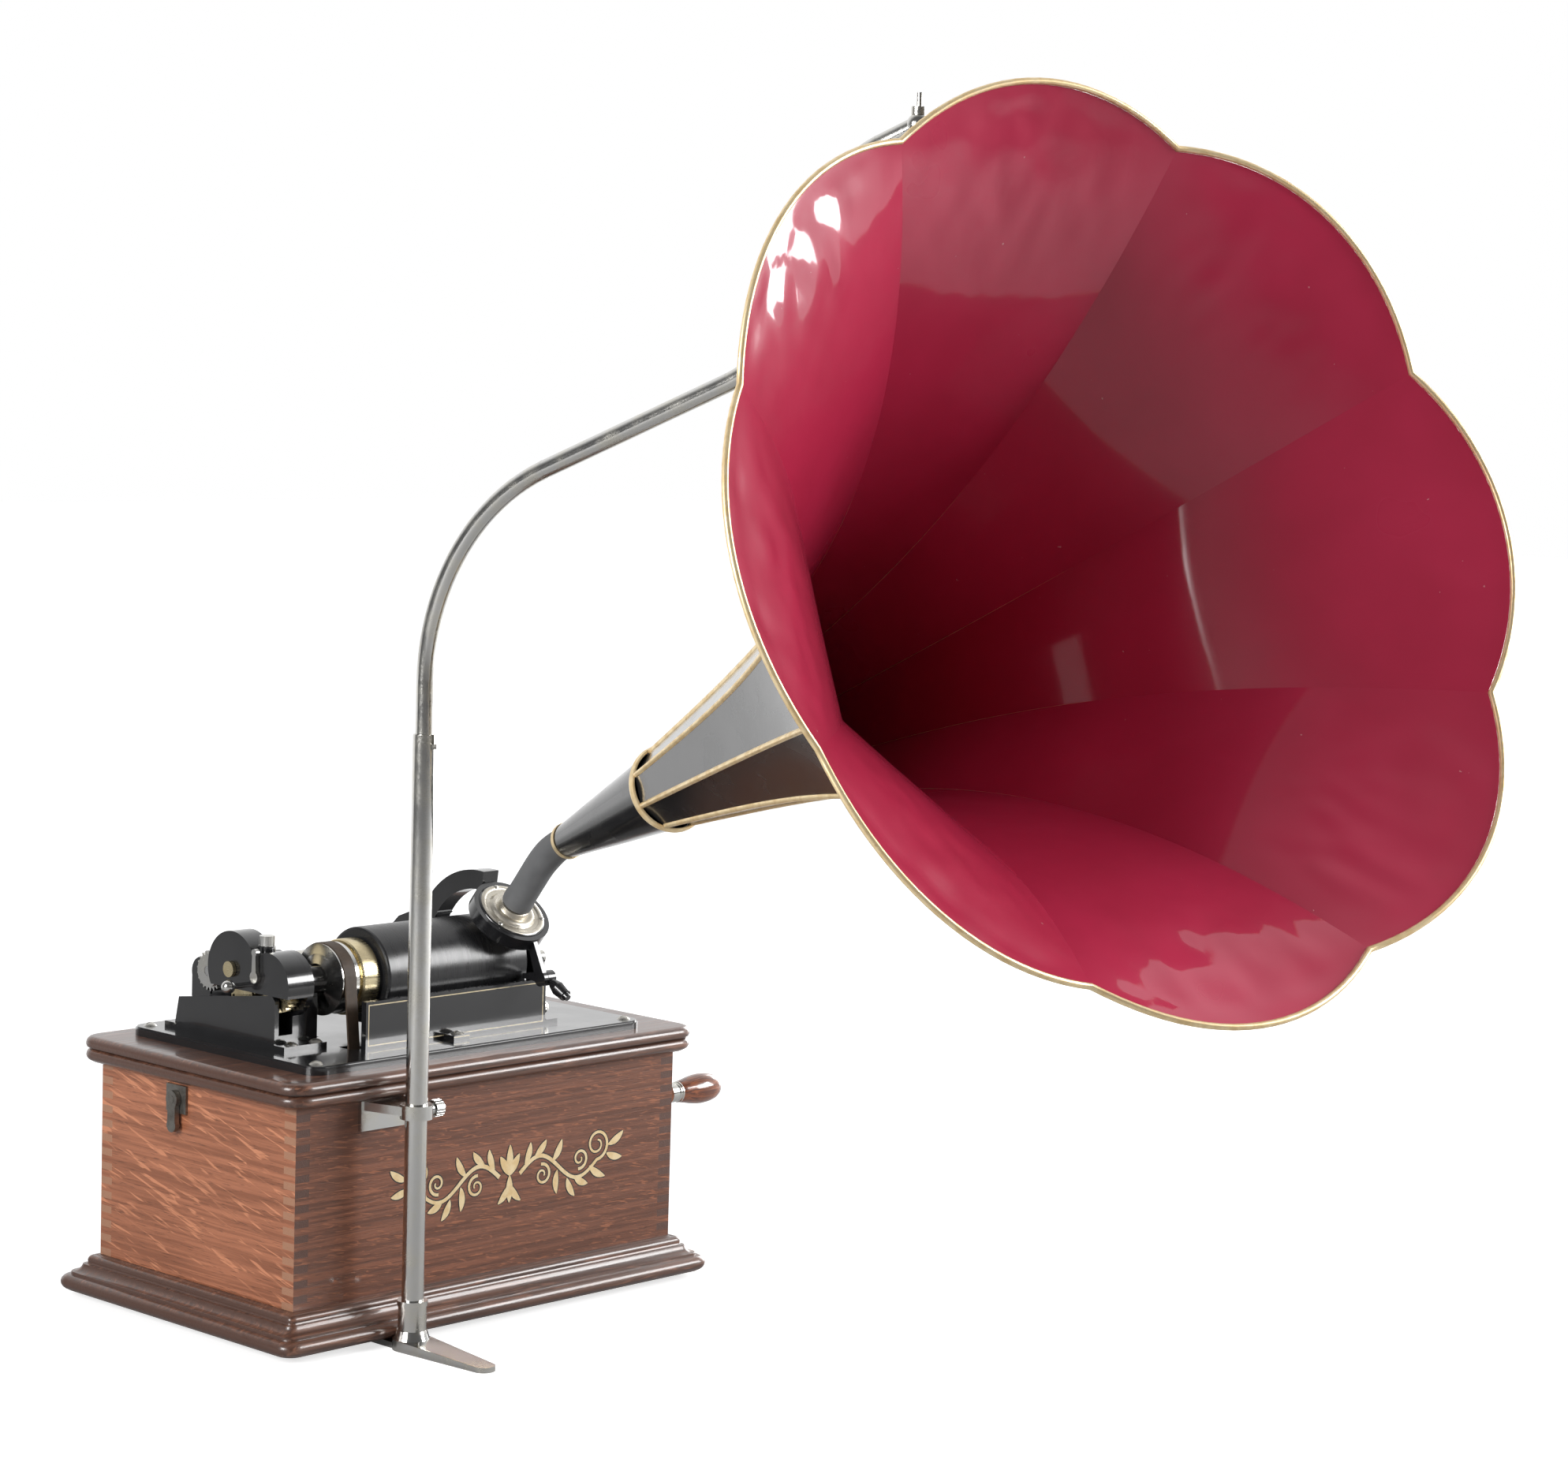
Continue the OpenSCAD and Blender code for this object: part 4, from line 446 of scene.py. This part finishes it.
# The two mouldings, each a stack of loops
def loop(half_w, half_d, radius, z, corner=8):
    """A rectangle with rounded corners at one height."""
    points = []
    for sx, sy, start in ((1, 1, 0), (-1, 1, 90), (-1, -1, 180), (1, -1, 270)):
        for k in range(corner + 1):
            a = math.radians(start + 90 * k / corner)
            x = sx * (half_w - radius) + radius * math.cos(a)
            y = sy * (half_d - radius) + radius * math.sin(a)
            points.append((x, y, z))
    return points


BODY_W, BODY_D = 292, 177
BASE_FOOT, BASE_TOP, BASE_T = 4, 25, 20
LID_Z, LID_T = 139.5, 15
WELL_X, WELL_Y = (-92, 72), (-70, 70)


def moulding(name, loops, node):
    """A closed ring of loops in place of a node."""
    around = len(loops[0])
    points = [p for ring in loops for p in ring]
    thing = piece(name, points, rings_faces(len(loops), around, loop=True), "cabinet", "dark_oak", sharp=30)
    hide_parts(node)


def base_loops():
    """A half-round toe, a fillet, a cove and a top bead against the walls."""
    profile = [(9.5, BASE_FOOT), (15.4, BASE_FOOT)]
    profile += arc((14.6, 8.6), 4.4, -80, 95, 14)
    profile += [(14.0, 13.6), (14.0, 14.6)]
    profile += arc((14.0, 20.4), 5.6, -92, -168, 8)
    profile += [(6.6, 19.6), (6.2, 20.4)] + arc((3.4, 21.4), 2.9, -10, 120, 8)
    profile += [(0.02, 24.9)]
    rows = [loop(BODY_W / 2 + o, BODY_D / 2 + o, 1 + 0.45 * max(o, 0), z) for o, z in profile]
    inner = [loop(BODY_W / 2 - BASE_T, BODY_D / 2 - BASE_T, 1, z) for z in (BASE_TOP, BASE_FOOT)]
    return rows + inner


def held(value, limits):
    """A value kept between two limits."""
    return min(max(value, limits[0]), limits[1])


def lid_loops():
    """Flat underside, a rounded bead, a quirk and a thumbnail edge, round an opening for the motor."""
    profile = [(0.5, 0), (6.4, 0)] + arc((7.2, 4.4), 3.6, -70, 80, 10) + [(7.9, 8.9)]
    profile += arc((7.0, 11.0), 4.0, -30, 84, 9) + [(5.6, LID_T), (2.0, LID_T)]
    rows = [loop(BODY_W / 2 + o, BODY_D / 2 + o, 3 + o, LID_Z + z) for o, z in profile]
    well = []
    for z in (LID_T, 0):
        well.append([(held(x, WELL_X), held(y, WELL_Y), LID_Z + z) for x, y, _ in rows[0]])
    return rows + well


moulding("base_board", base_loops(), "base_moulding")
moulding("lid_board", lid_loops(), "top_board")


# Horn: the same flare as the frame's, in a fine mesh with rolled lips. t is the distance from the throat,
# q runs from -1 to 1 across a panel, a is the angle round the horn's axis
HORN_RISE, HORN_TURN = math.radians(21.3), math.radians(13.1)
HORN_L, PANEL_T0 = 550.0, 120.0
RING_R, FLARE_LIN, BELL = 23.0, 62.0, 215.0
FLARE_ADD, FLARE_EXP = BELL - RING_R - FLARE_LIN, 3.5
PANELS, SECTOR, SEAM_A = 8, 45.0, 24.7
FLAT = math.cos(math.radians(SECTOR / 2))
LOBE, PETAL_EXP, NOTCH = 0.005, 12, 9
LIP, LIP_L = 1.2, 14.0
SHEET = 0.6
BEND = Vector((46.5, -80.902, 267.551))
THROAT_L = 22
horn_dir = Vector((-math.sin(HORN_TURN) * math.cos(HORN_RISE), -math.cos(HORN_TURN) * math.cos(HORN_RISE),
                   math.sin(HORN_RISE)))
throat = BEND + THROAT_L * horn_dir
horn_u = Vector((math.cos(HORN_TURN), -math.sin(HORN_TURN), 0))
horn_v = horn_dir.cross(horn_u)
horn_frame = Matrix((horn_u, horn_v, horn_dir)).transposed().to_4x4()
horn_frame.translation = throat


def horn_share(t):
    """How far along the panels a place lies, 0 at the ring and 1 at the rim."""
    return (t - PANEL_T0) / (HORN_L - PANEL_T0)


def horn_radius(t):
    """Distance from the axis to a corner between two panels."""
    u = horn_share(t)
    return RING_R + FLARE_LIN * u + FLARE_ADD * max(u, 0) ** FLARE_EXP


def skin(t, q, offset):
    """Radius and height of the skin at distance t and at q across a panel, with a rolled lip near the rim."""
    crown = 1 - q * q
    u = max(horn_share(t), 0)
    slope = (FLARE_LIN + FLARE_EXP * FLARE_ADD * u ** (FLARE_EXP - 1)) / (HORN_L - PANEL_T0)
    length = math.sqrt(1 + slope * slope)
    back = (HORN_L - t) / LIP_L
    lip = -LIP * crown * back * math.exp(1 - back)
    z = t + NOTCH * crown * u ** PETAL_EXP
    petal = (1 - FLAT + LOBE) * max(min(horn_share(z), 1), 0) ** PETAL_EXP * crown
    r = horn_radius(z) * (FLAT / math.cos(math.radians(q * SECTOR / 2)) + petal)
    return r + (offset + lip) / length, z - (offset + lip) * slope / length


ROWS, ACROSS, ROW_POWER = 72, 36, 1.6


def row_t(i):
    """Rows of points, closer together towards the rim."""
    x = 1 - (1 - i / ROWS) ** ROW_POWER
    return PANEL_T0 + (HORN_L - PANEL_T0) * x


DENT, DENT_SIZE, DENT_FROM = 1.1, 15.0, 0.86


def dent(t, q, a):
    """Small hammer marks in the flare near the rim, fading towards the seams and the wire."""
    u = horn_share(t)
    if u < DENT_FROM:
        return 0.0
    place = Vector((BELL * math.cos(a), BELL * math.sin(a), 1.5 * t)) / DENT_SIZE
    fade = (1 - q * q) * min((u - DENT_FROM) / 0.08, 1) * min((1 - u) / 0.015, 1)
    return DENT * noise.noise(place) * fade


def horn_point(t, q, a, offset):
    """A point of the skin in the shared frame, moved outwards by an offset."""
    a = math.radians(a)
    r, z = skin(t, q, offset + dent(t, q, a))
    return horn_frame @ Vector((r * math.cos(a), r * math.sin(a), z))


def bell():
    """Eight panels as one shell: black outside, crimson inside, creased where the panels meet."""
    points = []
    columns = PANELS * ACROSS
    for offset in (0.0, -SHEET):
        for i in range(ROWS + 1):
            for k in range(columns):
                q = -1 + 2 * (k % ACROSS) / ACROSS
                points.append(horn_point(row_t(i), q, SEAM_A + k * 360 / columns, offset))
    outer = rings_faces(ROWS + 1, columns)
    inner = [tuple(reversed([v + (ROWS + 1) * columns for v in f])) for f in outer]
    faces = outer + inner
    inside = [0] * len(outer) + [1] * len(inner)
    n = (ROWS + 1) * columns
    for i in (0, ROWS):
        for k in range(columns):
            a, b = i * columns + k, i * columns + (k + 1) % columns
            faces.append((a, a + n, b + n, b) if i == 0 else (a, b, b + n, a + n))
            inside.append(0)
    thing = piece("horn_bell", points, faces, "horn", "horn_crimson", ("horn_black",), sharp=180)
    for polygon, value in zip(thing.data.polygons, inside):
        polygon.material_index = 0 if value else 1
    return thing, columns


def crease(thing, columns):
    """Marks the lines between panels as sharp, inside and outside."""
    mesh = thing.data
    seams = set(range(0, columns, ACROSS))
    sharp = mesh.attributes.get("sharp_edge") or mesh.attributes.new("sharp_edge", "BOOLEAN", "EDGE")
    total = (ROWS + 1) * columns
    for edge in mesh.edges:
        a, b = edge.vertices
        same_side = (a < total) == (b < total)
        same_column = a % columns == b % columns
        ends = all((v % total) // columns in (0, ROWS) for v in (a, b))
        seam = same_side and same_column and a % columns in seams
        sharp.data[edge.index].value = bool(seam or not same_side or (ends and not same_column))


bell_piece, bell_columns = bell()
crease(bell_piece, bell_columns)
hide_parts("horn_panels", "horn_mouth")


def seam_piece(half_w=1.7):
    """A raised gold fold over each joint between panels, outside, from the edge of the gold ring."""
    half = [(0.2, 1.5), (0.6, 1.2), (0.95, 0.55), (1, 0.02)]
    section = [(-p, h) for p, h in reversed(half)] + half
    points, faces = [], []
    for k in range(PANELS):
        base = len(points)
        for i in range(ROWS + 1):
            t = max(row_t(i), PANEL_T0 + 1.5)
            for p, h in section:
                w = math.degrees(p * half_w / horn_radius(t))
                points.append(horn_point(t, 1 - abs(w) / (SECTOR / 2), SEAM_A + SECTOR * k + w, h))
        faces += [tuple(reversed(f)) for f in rings_faces(ROWS + 1, len(section), base=base)]
        end = base + ROWS * len(section)
        faces.append(tuple(base + j for j in range(len(section))))
        faces.append(tuple(end + j for j in reversed(range(len(section)))))
    thing = piece("horn_seam_lines", points, faces, "horn", "horn_gold", sharp=60)
    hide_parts("horn_seams")


WIRE_OUT, WIRE_UP = 1.3, 1.0


def rim_piece(radius=1.6, sides=12, across=24):
    """The rolled wire along the lobed edge."""
    points = []
    columns = PANELS * across
    path = []
    for k in range(columns):
        q = -1 + 2 * (k % across) / across
        a = math.radians(SEAM_A + k * 360 / columns)
        r, z = skin(HORN_L, q, -SHEET / 2)
        path.append((Vector((math.cos(a), math.sin(a), 0)), r + WIRE_OUT, z + WIRE_UP))
    for out, r, z in path:
        for j in range(sides):
            b = 2 * math.pi * j / sides
            up = Vector((0, 0, z + radius * math.sin(b)))
            points.append(horn_frame @ (out * (r + radius * math.cos(b)) + up))
    faces = [tuple(reversed(f)) for f in rings_faces(columns, sides, loop=True)]
    thing = piece("horn_lip", points, faces, "horn", "horn_gold", sharp=60)
    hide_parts("horn_rim")


seam_piece()
rim_piece()


# Rubber elbow: one smooth tube in two halves that meet at its bend
TILT = math.radians(38)
ARM_ORIGIN = Vector((46.5, -25.0, 196.0))
arm_dir = Vector((0, -math.sin(TILT), math.cos(TILT)))
tilted = Matrix.Rotation(TILT, 4, "X")
tilted.translation = ARM_ORIGIN
ELBOW_FROM, ELBOW_TO, KNEE = 47, 26, 17.0
ELBOW_R, ELBOW_BORE = 9.0, 7.3
CUFF, BEAD, SWELL = 0.5, 0.35, 0.35


def tube(path, radii, sides):
    """Points of a tube along a path, its rings turned as little as possible."""
    points = []
    side = Vector((1, 0, 0))
    for i, p in enumerate(path):
        a = path[max(i - 1, 0)]
        b = path[min(i + 1, len(path) - 1)]
        along = (b - a).normalized()
        side = (side - along * side.dot(along)).normalized()
        other = along.cross(side)
        for k in range(sides):
            c = 2 * math.pi * k / sides
            points.append(p + radii[i] * (math.cos(c) * side + math.sin(c) * other))
    return points


def elbow_path(start, end, straight=12, curve=24, tail=6):
    """Points from the arm's outlet round the bend to the throat, and the number of the middle one."""
    first, last = BEND - KNEE * arm_dir, BEND + KNEE * horn_dir
    path = [start + (first - start) * k / straight for k in range(straight)]
    for k in range(curve + 1):
        u = k / curve
        path.append(first * (1 - u) ** 2 + BEND * 2 * u * (1 - u) + last * u ** 2)
    path += [last + (end - last) * k / tail for k in range(1, tail + 1)]
    return path, straight + curve // 2


def elbow_radii(count, middle, cuff=4, spread=8.0):
    """A cuff on the arm, a slight swell at the bend and a bead on the throat."""
    radii = []
    for i in range(count):
        r = ELBOW_R
        if i < cuff:
            r += CUFF * math.sin(math.pi * (i + 0.6) / cuff)
        if i > count - cuff:
            r += BEAD
        off = (i - middle) / spread
        radii.append(r + SWELL * math.exp(-off * off))
    return radii


def elbow_pieces(sides=40):
    start = ARM_ORIGIN + ELBOW_FROM * arm_dir
    end = BEND + ELBOW_TO * horn_dir
    path, middle = elbow_path(start, end)
    outer = elbow_radii(len(path), middle)
    for name, low, high, bodies, ends, cap in (
            ("elbow_lower", 0, middle, ("arm", "elbow"), (start, path[middle]), "start"),
            ("elbow_upper", middle, len(path) - 1, ("elbow", "horn"), (path[middle], end), "end")):
        part, radii = path[low:high + 1], outer[low:high + 1]
        points = tube(part, radii, sides) + tube(part, [ELBOW_BORE] * len(part), sides)
        count = len(part)
        shell = rings_faces(count, sides)
        lining = [tuple(reversed([v + count * sides for v in f])) for f in shell]
        faces = shell + lining
        row = 0 if cap == "start" else count - 1
        for k in range(sides):
            a, b = row * sides + k, row * sides + (k + 1) % sides
            n = count * sides
            faces.append((b, a, a + n, b + n) if cap == "start" else (a, b, b + n, a + n))
        thing = piece(name, points, faces, None, "grey_rubber", sharp=50)
        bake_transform(thing)
        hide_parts("elbow")


elbow_pieces()


# Reproducer: a turned body with a stepped plate, a clamp ring and a raised cup, and its small screws
RING_FROM, SCREW_R, SCREW_Z = 19.6, 19.0, 41.6
EAR_X, EAR_T = (-6.3, 4.3), 2
EAR_YZ = ((13.4, 29.8), (16.6, 29.8), (16.6, 33.0), (13.4, 33.0))


def reproducer_piece():
    """The body with its two ears for the weight, black outside the clamp ring, and three screws."""
    profile = [(5.5, 36), (5.5, 33.5), (8, 33.2), (8, 32.5), (20.6, 32.5), (21.4, 33.2), (21.4, 40.2),
               (21.1, 40.9), (20.4, 41.5), (18.6, 41.8), (17.6, 41.5), (17.2, 41.0), (14.8, 40.9), (14.3, 41.3),
               (13.6, 42.3), (12.6, 42.8), (11.2, 42.7), (10.4, 42.3), (9.6, 42.4), (9.2, 43.4), (9.0, 45.4),
               (8.2, 46.0), (7.2, 46.2), (7.0, 46.8), (7.0, 56.0), (5.5, 56.0), (5.5, 36)]
    points, faces = lathe(profile, tilted)
    ears = []
    for x in EAR_X:
        base = len(points)
        for dx in (0, EAR_T):
            for y, z in EAR_YZ:
                points.append(tilted @ Vector((x + dx, y, z)))
        ears += [(base, base + 3, base + 2, base + 1), (base + 4, base + 5, base + 6, base + 7)]
        for k in range(4):
            n = (k + 1) % 4
            ears.append((base + k, base + n, base + 4 + n, base + 4 + k))
    thing = piece("reproducer_body", points, faces + ears, "arm", "nickel", ("japanned",), sharp=40)
    thing.data.materials[0] = materials["warm_nickel"]
    to_arm = tilted.inverted()
    for polygon in thing.data.polygons:
        spot = to_arm @ (polygon.center / MM)
        polygon.material_index = 1 if math.hypot(spot.x, spot.y) > RING_FROM else 0
    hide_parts("reproducer")
    screws, sides = [], []
    for k in range(3):
        a = math.radians(90 + 120 * k)
        spot = tilted @ Matrix.Translation((SCREW_R * math.cos(a), SCREW_R * math.sin(a), SCREW_Z))
        more, quads = lathe([(0.01, 0.9), (1.0, 0.85), (1.5, 0.5), (1.6, 0)], spot, 20)
        sides += [tuple(reversed([v + len(screws) for v in f])) for f in quads]
        screws += more
    piece("plate_screws", screws, sides, "arm", "satin_nickel")


reproducer_piece()


# Crank knob: a turned wooden grip with a nickel ferrule
KNOB_AT = Vector((172.3, -63.871, 105.859))


def crank_knob():
    """Both pieces turn about X, on the knob's pin."""
    turn = Matrix.Rotation(math.radians(90), 4, "Y")
    turn.translation = KNOB_AT
    grip = [(2.6, 3.2), (6.2, 3.2), (6.6, 4.0), (7.0, 6.5), (8.2, 12), (9.1, 18), (9.3, 22), (9.0, 27),
            (8.0, 32), (6.2, 35.6), (3.6, 37.4), (0.01, 38)]
    points, faces = lathe(grip, turn, 48)
    wood = piece("crank_grip", points, [tuple(reversed(f)) for f in faces], "knob", "turned_wood", sharp=60)
    ring = [(2.6, 0), (5.6, 0), (6.0, 0.5), (6.0, 2.0), (6.5, 2.5), (6.5, 3.4), (6.0, 3.6), (2.6, 3.6),
            (2.6, 0)]
    points, faces = lathe(ring, turn, 48)
    piece("crank_ferrule", points, [tuple(reversed(f)) for f in faces], "knob", "nickel", sharp=40)
    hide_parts("crank_knob")


crank_knob()


# Painted scroll on the front wall: leaves and curls of a plain kind, gold with a dark edge
FRONT_Y, SCROLL_X, SCROLL_Z = -BODY_D / 2, 14.0, 80.0
SUNK, LIFT_STEP = 0.2, 0.00003
EDGE_LIFT, GOLD_LIFT, EDGE_EXTRA = 0.05, 0.14, 1.3
STEM_FROM, STEM_L, WAVE, END_R = 8, 62, 8.5, 9.5
STEM_W, CURL_W, LEAF_W, MIDDLE_LEAF_W = 2.6, 1.9, 4.4, 5
# Curls by place, size, first angle and sense; leaves by place, angle and length
CURLS = ((26, -3.2, 6.6, 100, -1), (56, 2.6, 6.4, -100, 1))
LEAVES = ((12, 5, 62, 13), (20, 9, 35, 12), (34, 4, 50, 14), (38, -2, -100, 14), (46, -8, -70, 13),
          (52, -8, -35, 12), (64, -3, -40, 15), (79, 8, 20, 14), (78, 3, -25, 13), (0, -5, -60, 14))
MIDDLE_LEAVES = ((90, 18), (58, 14), (122, 14), (270, 16))
LEAF_STEPS = 12


def strip(points, faces, path, widths, lift):
    """A closed flat band along a path on the front wall, a hair above the bands before it."""
    base = len(points)
    lift = lift + LIFT_STEP * base
    for i, (x, z) in enumerate(path):
        ax, az = path[max(i - 1, 0)]
        bx, bz = path[min(i + 1, len(path) - 1)]
        length = math.hypot(bx - ax, bz - az) or 1
        nx, nz = (az - bz) / length * widths[i] / 2, (bx - ax) / length * widths[i] / 2
        points += [(x + nx, FRONT_Y + SUNK, z + nz), (x - nx, FRONT_Y + SUNK, z - nz),
                   (x - nx, FRONT_Y - lift, z - nz), (x + nx, FRONT_Y - lift, z + nz)]
    faces += [tuple(reversed(f)) for f in rings_faces(len(path), 4, base=base)]
    end = base + 4 * (len(path) - 1)
    faces += [(base, base + 1, base + 2, base + 3), (end + 3, end + 2, end + 1, end)]


def stem(side):
    """A wave from the middle outwards that ends in a curl."""
    path = []
    for k in range(25):
        u = k / 24
        path.append((SCROLL_X + side * (STEM_FROM + STEM_L * u), SCROLL_Z + WAVE * math.sin(2 * math.pi * u)))
    center = (SCROLL_X + side * (STEM_FROM + STEM_L), SCROLL_Z + END_R)
    for k in range(1, 34):
        a = math.radians(-90 + 16 * k)
        r = END_R * (1 - k / 44)
        path.append((center[0] + side * r * math.cos(a), center[1] + r * math.sin(a)))
    return path


def curl(side, x, z, size, start, turn):
    """A small spiral that leaves the stem."""
    path = []
    for k in range(28):
        a = math.radians(start + turn * 18 * k)
        r = size * (1 - k / 34)
        path.append((SCROLL_X + side * (x + r * math.cos(a)), SCROLL_Z + z + r * math.sin(a)))
    return path


def leaf(side, x, z, angle, length, bend=18):
    """A pointed leaf, slightly bent."""
    path = []
    for k in range(LEAF_STEPS + 1):
        a = math.radians(angle + bend * (k / LEAF_STEPS - 0.5))
        reach = length * k / LEAF_STEPS
        path.append((SCROLL_X + side * (x + reach * math.cos(a)), SCROLL_Z + z + reach * math.sin(a)))
    return path


def tapered(width, loss, count, grow):
    """Widths of a band that narrows towards its end."""
    return [width * (1 - loss * k / count) + grow for k in range(count)]


def leaf_widths(width, grow):
    """Widths of a leaf, fullest in the middle."""
    steps = range(LEAF_STEPS + 1)
    return [width * math.sin(math.pi * (k + 0.3) / (LEAF_STEPS + 0.6)) ** 0.8 + grow for k in steps]


def scroll(name, slot, grow, lift):
    """All the bands as one piece, widened by grow for the dark edge."""
    points, faces = [], []
    for side in (1, -1):
        path = stem(side)
        strip(points, faces, path, tapered(STEM_W, 0.6, len(path), grow), lift)
        for x, z, size, start, turn in CURLS:
            path = curl(side, x, z, size, start, turn)
            strip(points, faces, path, tapered(CURL_W, 0.5, len(path), grow), lift)
        for x, z, angle, length in LEAVES:
            path = leaf(side, x, z, angle, length)
            strip(points, faces, path, leaf_widths(LEAF_W, grow), lift)
    for angle, length in MIDDLE_LEAVES:
        path = leaf(1, 0, 0, angle, length, 0)
        strip(points, faces, path, leaf_widths(MIDDLE_LEAF_W, grow), lift)
    piece(name, points, faces, "cabinet", slot, sharp=30)


scroll("scroll_edge", "japanned", EDGE_EXTRA, EDGE_LIFT)
scroll("scroll_gold", "horn_gold", 0.0, GOLD_LIFT)


# Floor, world and lamps
FLOOR_GREY, FLOOR_GREY_MIRRORED, FLOOR_HALF = 0.6, 0.38, 9
FLOOR_SHINE = {"From Min": -0.9, "From Max": 0.1, "To Min": 1.0, "To Max": 0.06}
# The floor's glow whitens the backdrop far off and fades to 0.7 near the object, a painted shade round it
FLOOR_GLOW_AND_SHADE = {"From Min": 0.3, "From Max": 1.8, "To Min": 0.7, "To Max": 1.0}
WORLD_SHADE = {"From Min": -0.8, "From Max": 0.0, "To Min": 1.0, "To Max": 0.12}
WORLD_FILL = 0.08


def map_range(tree, value, limits):
    """A smooth remap of a value, with its four limits by name."""
    node = tree.nodes.new("ShaderNodeMapRange")
    node.interpolation_type = "SMOOTHSTEP"
    tree.links.new(value, node.inputs["Value"])
    for key, number in limits.items():
        node.inputs[key].default_value = number
    return node.outputs["Result"]


def combine(tree, operation, first, second):
    """Two values through one arithmetic node."""
    node = tree.nodes.new("ShaderNodeMath")
    node.operation = operation
    tree.links.new(first, node.inputs[0])
    tree.links.new(second, node.inputs[1])
    return node.outputs[0]


def toward(tree, place, direction):
    """How far a place or a ray points along a direction."""
    node = tree.nodes.new("ShaderNodeVectorMath")
    node.operation = "DOT_PRODUCT"
    tree.links.new(place, node.inputs[0])
    node.inputs[1].default_value = Vector(direction).normalized()
    return node.outputs["Value"]


def make_stage():
    """A floor that looks white to the camera, greyer round the object where its glow is weaker (a painted
    shade), and dark in reflections on its side.
    """
    mesh = bpy.data.meshes.new("floor")
    h = FLOOR_HALF
    mesh.from_pydata([(-h, -h, 0), (h, -h, 0), (h, h, 0), (-h, h, 0)], [], [(0, 1, 2, 3)])
    floor = bpy.data.objects.new("floor", mesh)
    bpy.context.scene.collection.objects.link(floor)
    material = bpy.data.materials.new("floor")
    material.use_nodes = True
    tree = material.node_tree
    shader = tree.nodes["Principled BSDF"]
    shader.inputs["Roughness"].default_value = 0.8
    shader.inputs["Specular IOR Level"].default_value = 0.1
    rays = tree.nodes.new("ShaderNodeLightPath")
    tint = tree.nodes.new("ShaderNodeMix")
    tint.data_type = "RGBA"
    tree.links.new(rays.outputs["Is Glossy Ray"], tint.inputs[0])
    tint.inputs[6].default_value = (FLOOR_GREY, FLOOR_GREY, FLOOR_GREY, 1)
    tint.inputs[7].default_value = (FLOOR_GREY_MIRRORED, FLOOR_GREY_MIRRORED, FLOOR_GREY_MIRRORED, 1)
    tree.links.new(tint.outputs[2], shader.inputs["Base Color"])
    place = tree.nodes.new("ShaderNodeTexCoord").outputs["Object"]
    behind = map_range(tree, toward(tree, place, (camera_back.x, camera_back.y, 0)), FLOOR_SHINE)
    mirrored = combine(tree, "MULTIPLY", rays.outputs["Is Glossy Ray"], behind)
    seen = combine(tree, "MAXIMUM", rays.outputs["Is Camera Ray"], mirrored)
    far = tree.nodes.new("ShaderNodeVectorMath")
    far.operation = "LENGTH"
    tree.links.new(place, far.inputs[0])
    glow_and_shade = map_range(tree, far.outputs["Value"], FLOOR_GLOW_AND_SHADE)
    shader.inputs["Emission Color"].default_value = (1, 1, 1, 1)
    tree.links.new(combine(tree, "MULTIPLY", seen, glow_and_shade), shader.inputs["Emission Strength"])
    mesh.materials.append(material)


def make_world():
    """White behind the object and in reflections, softly shaded towards the camera's side, and plain light."""
    world = bpy.data.worlds.new("studio")
    bpy.context.scene.world = world
    world.use_nodes = True
    tree = world.node_tree
    ground = tree.nodes["Background"]
    rays = tree.nodes.new("ShaderNodeLightPath")
    place = tree.nodes.new("ShaderNodeTexCoord").outputs["Generated"]
    shade = map_range(tree, toward(tree, place, (camera_back.x, camera_back.y, -0.25)), WORLD_SHADE)
    glossy = tree.nodes.new("ShaderNodeMix")
    glossy.data_type = "FLOAT"
    tree.links.new(rays.outputs["Is Glossy Ray"], glossy.inputs[0])
    glossy.inputs[2].default_value = WORLD_FILL
    tree.links.new(shade, glossy.inputs[3])
    seen = combine(tree, "MAXIMUM", rays.outputs["Is Camera Ray"], rays.outputs["Is Transmission Ray"])
    level = tree.nodes.new("ShaderNodeMix")
    level.data_type = "FLOAT"
    tree.links.new(seen, level.inputs[0])
    tree.links.new(glossy.outputs[0], level.inputs[2])
    level.inputs[3].default_value = 1.0
    ground.inputs["Color"].default_value = (1, 1, 1, 1)
    tree.links.new(level.outputs[0], ground.inputs["Strength"])


def lamp(name, place, target, size, power, mirrored=True):
    """A rectangular area lamp; sizes in metres, power in watts."""
    data = bpy.data.lights.new(name, "AREA")
    data.shape = "RECTANGLE"
    data.size, data.size_y = size
    data.energy = power
    thing = bpy.data.objects.new(name, data)
    thing.location = place
    direction = Vector(target) - Vector(place)
    thing.rotation_euler = direction.to_track_quat("-Z", "Y").to_euler()
    thing.visible_glossy = mirrored
    bpy.context.scene.collection.objects.link(thing)


make_stage()
make_world()
lamp("key", (1.6, -1.65, 1.05), (-0.05, -0.45, 0.45), (1.3, 1.0), 60)
lamp("side", (-1.85, -0.1, 0.95), (0, -0.3, 0.3), (0.9, 0.9), 38)
lamp("window", (2.2, 0.5, 0.6), (0, -0.3, 0.5), (1.1, 1.5), 28)
lamp("top", (0.1, -1.3, 2.3), (0, -0.3, 0.3), (1.0, 1.0), 9, mirrored=False)

bpy.context.scene.view_settings.view_transform = "Standard"
bpy.context.view_layer.update()
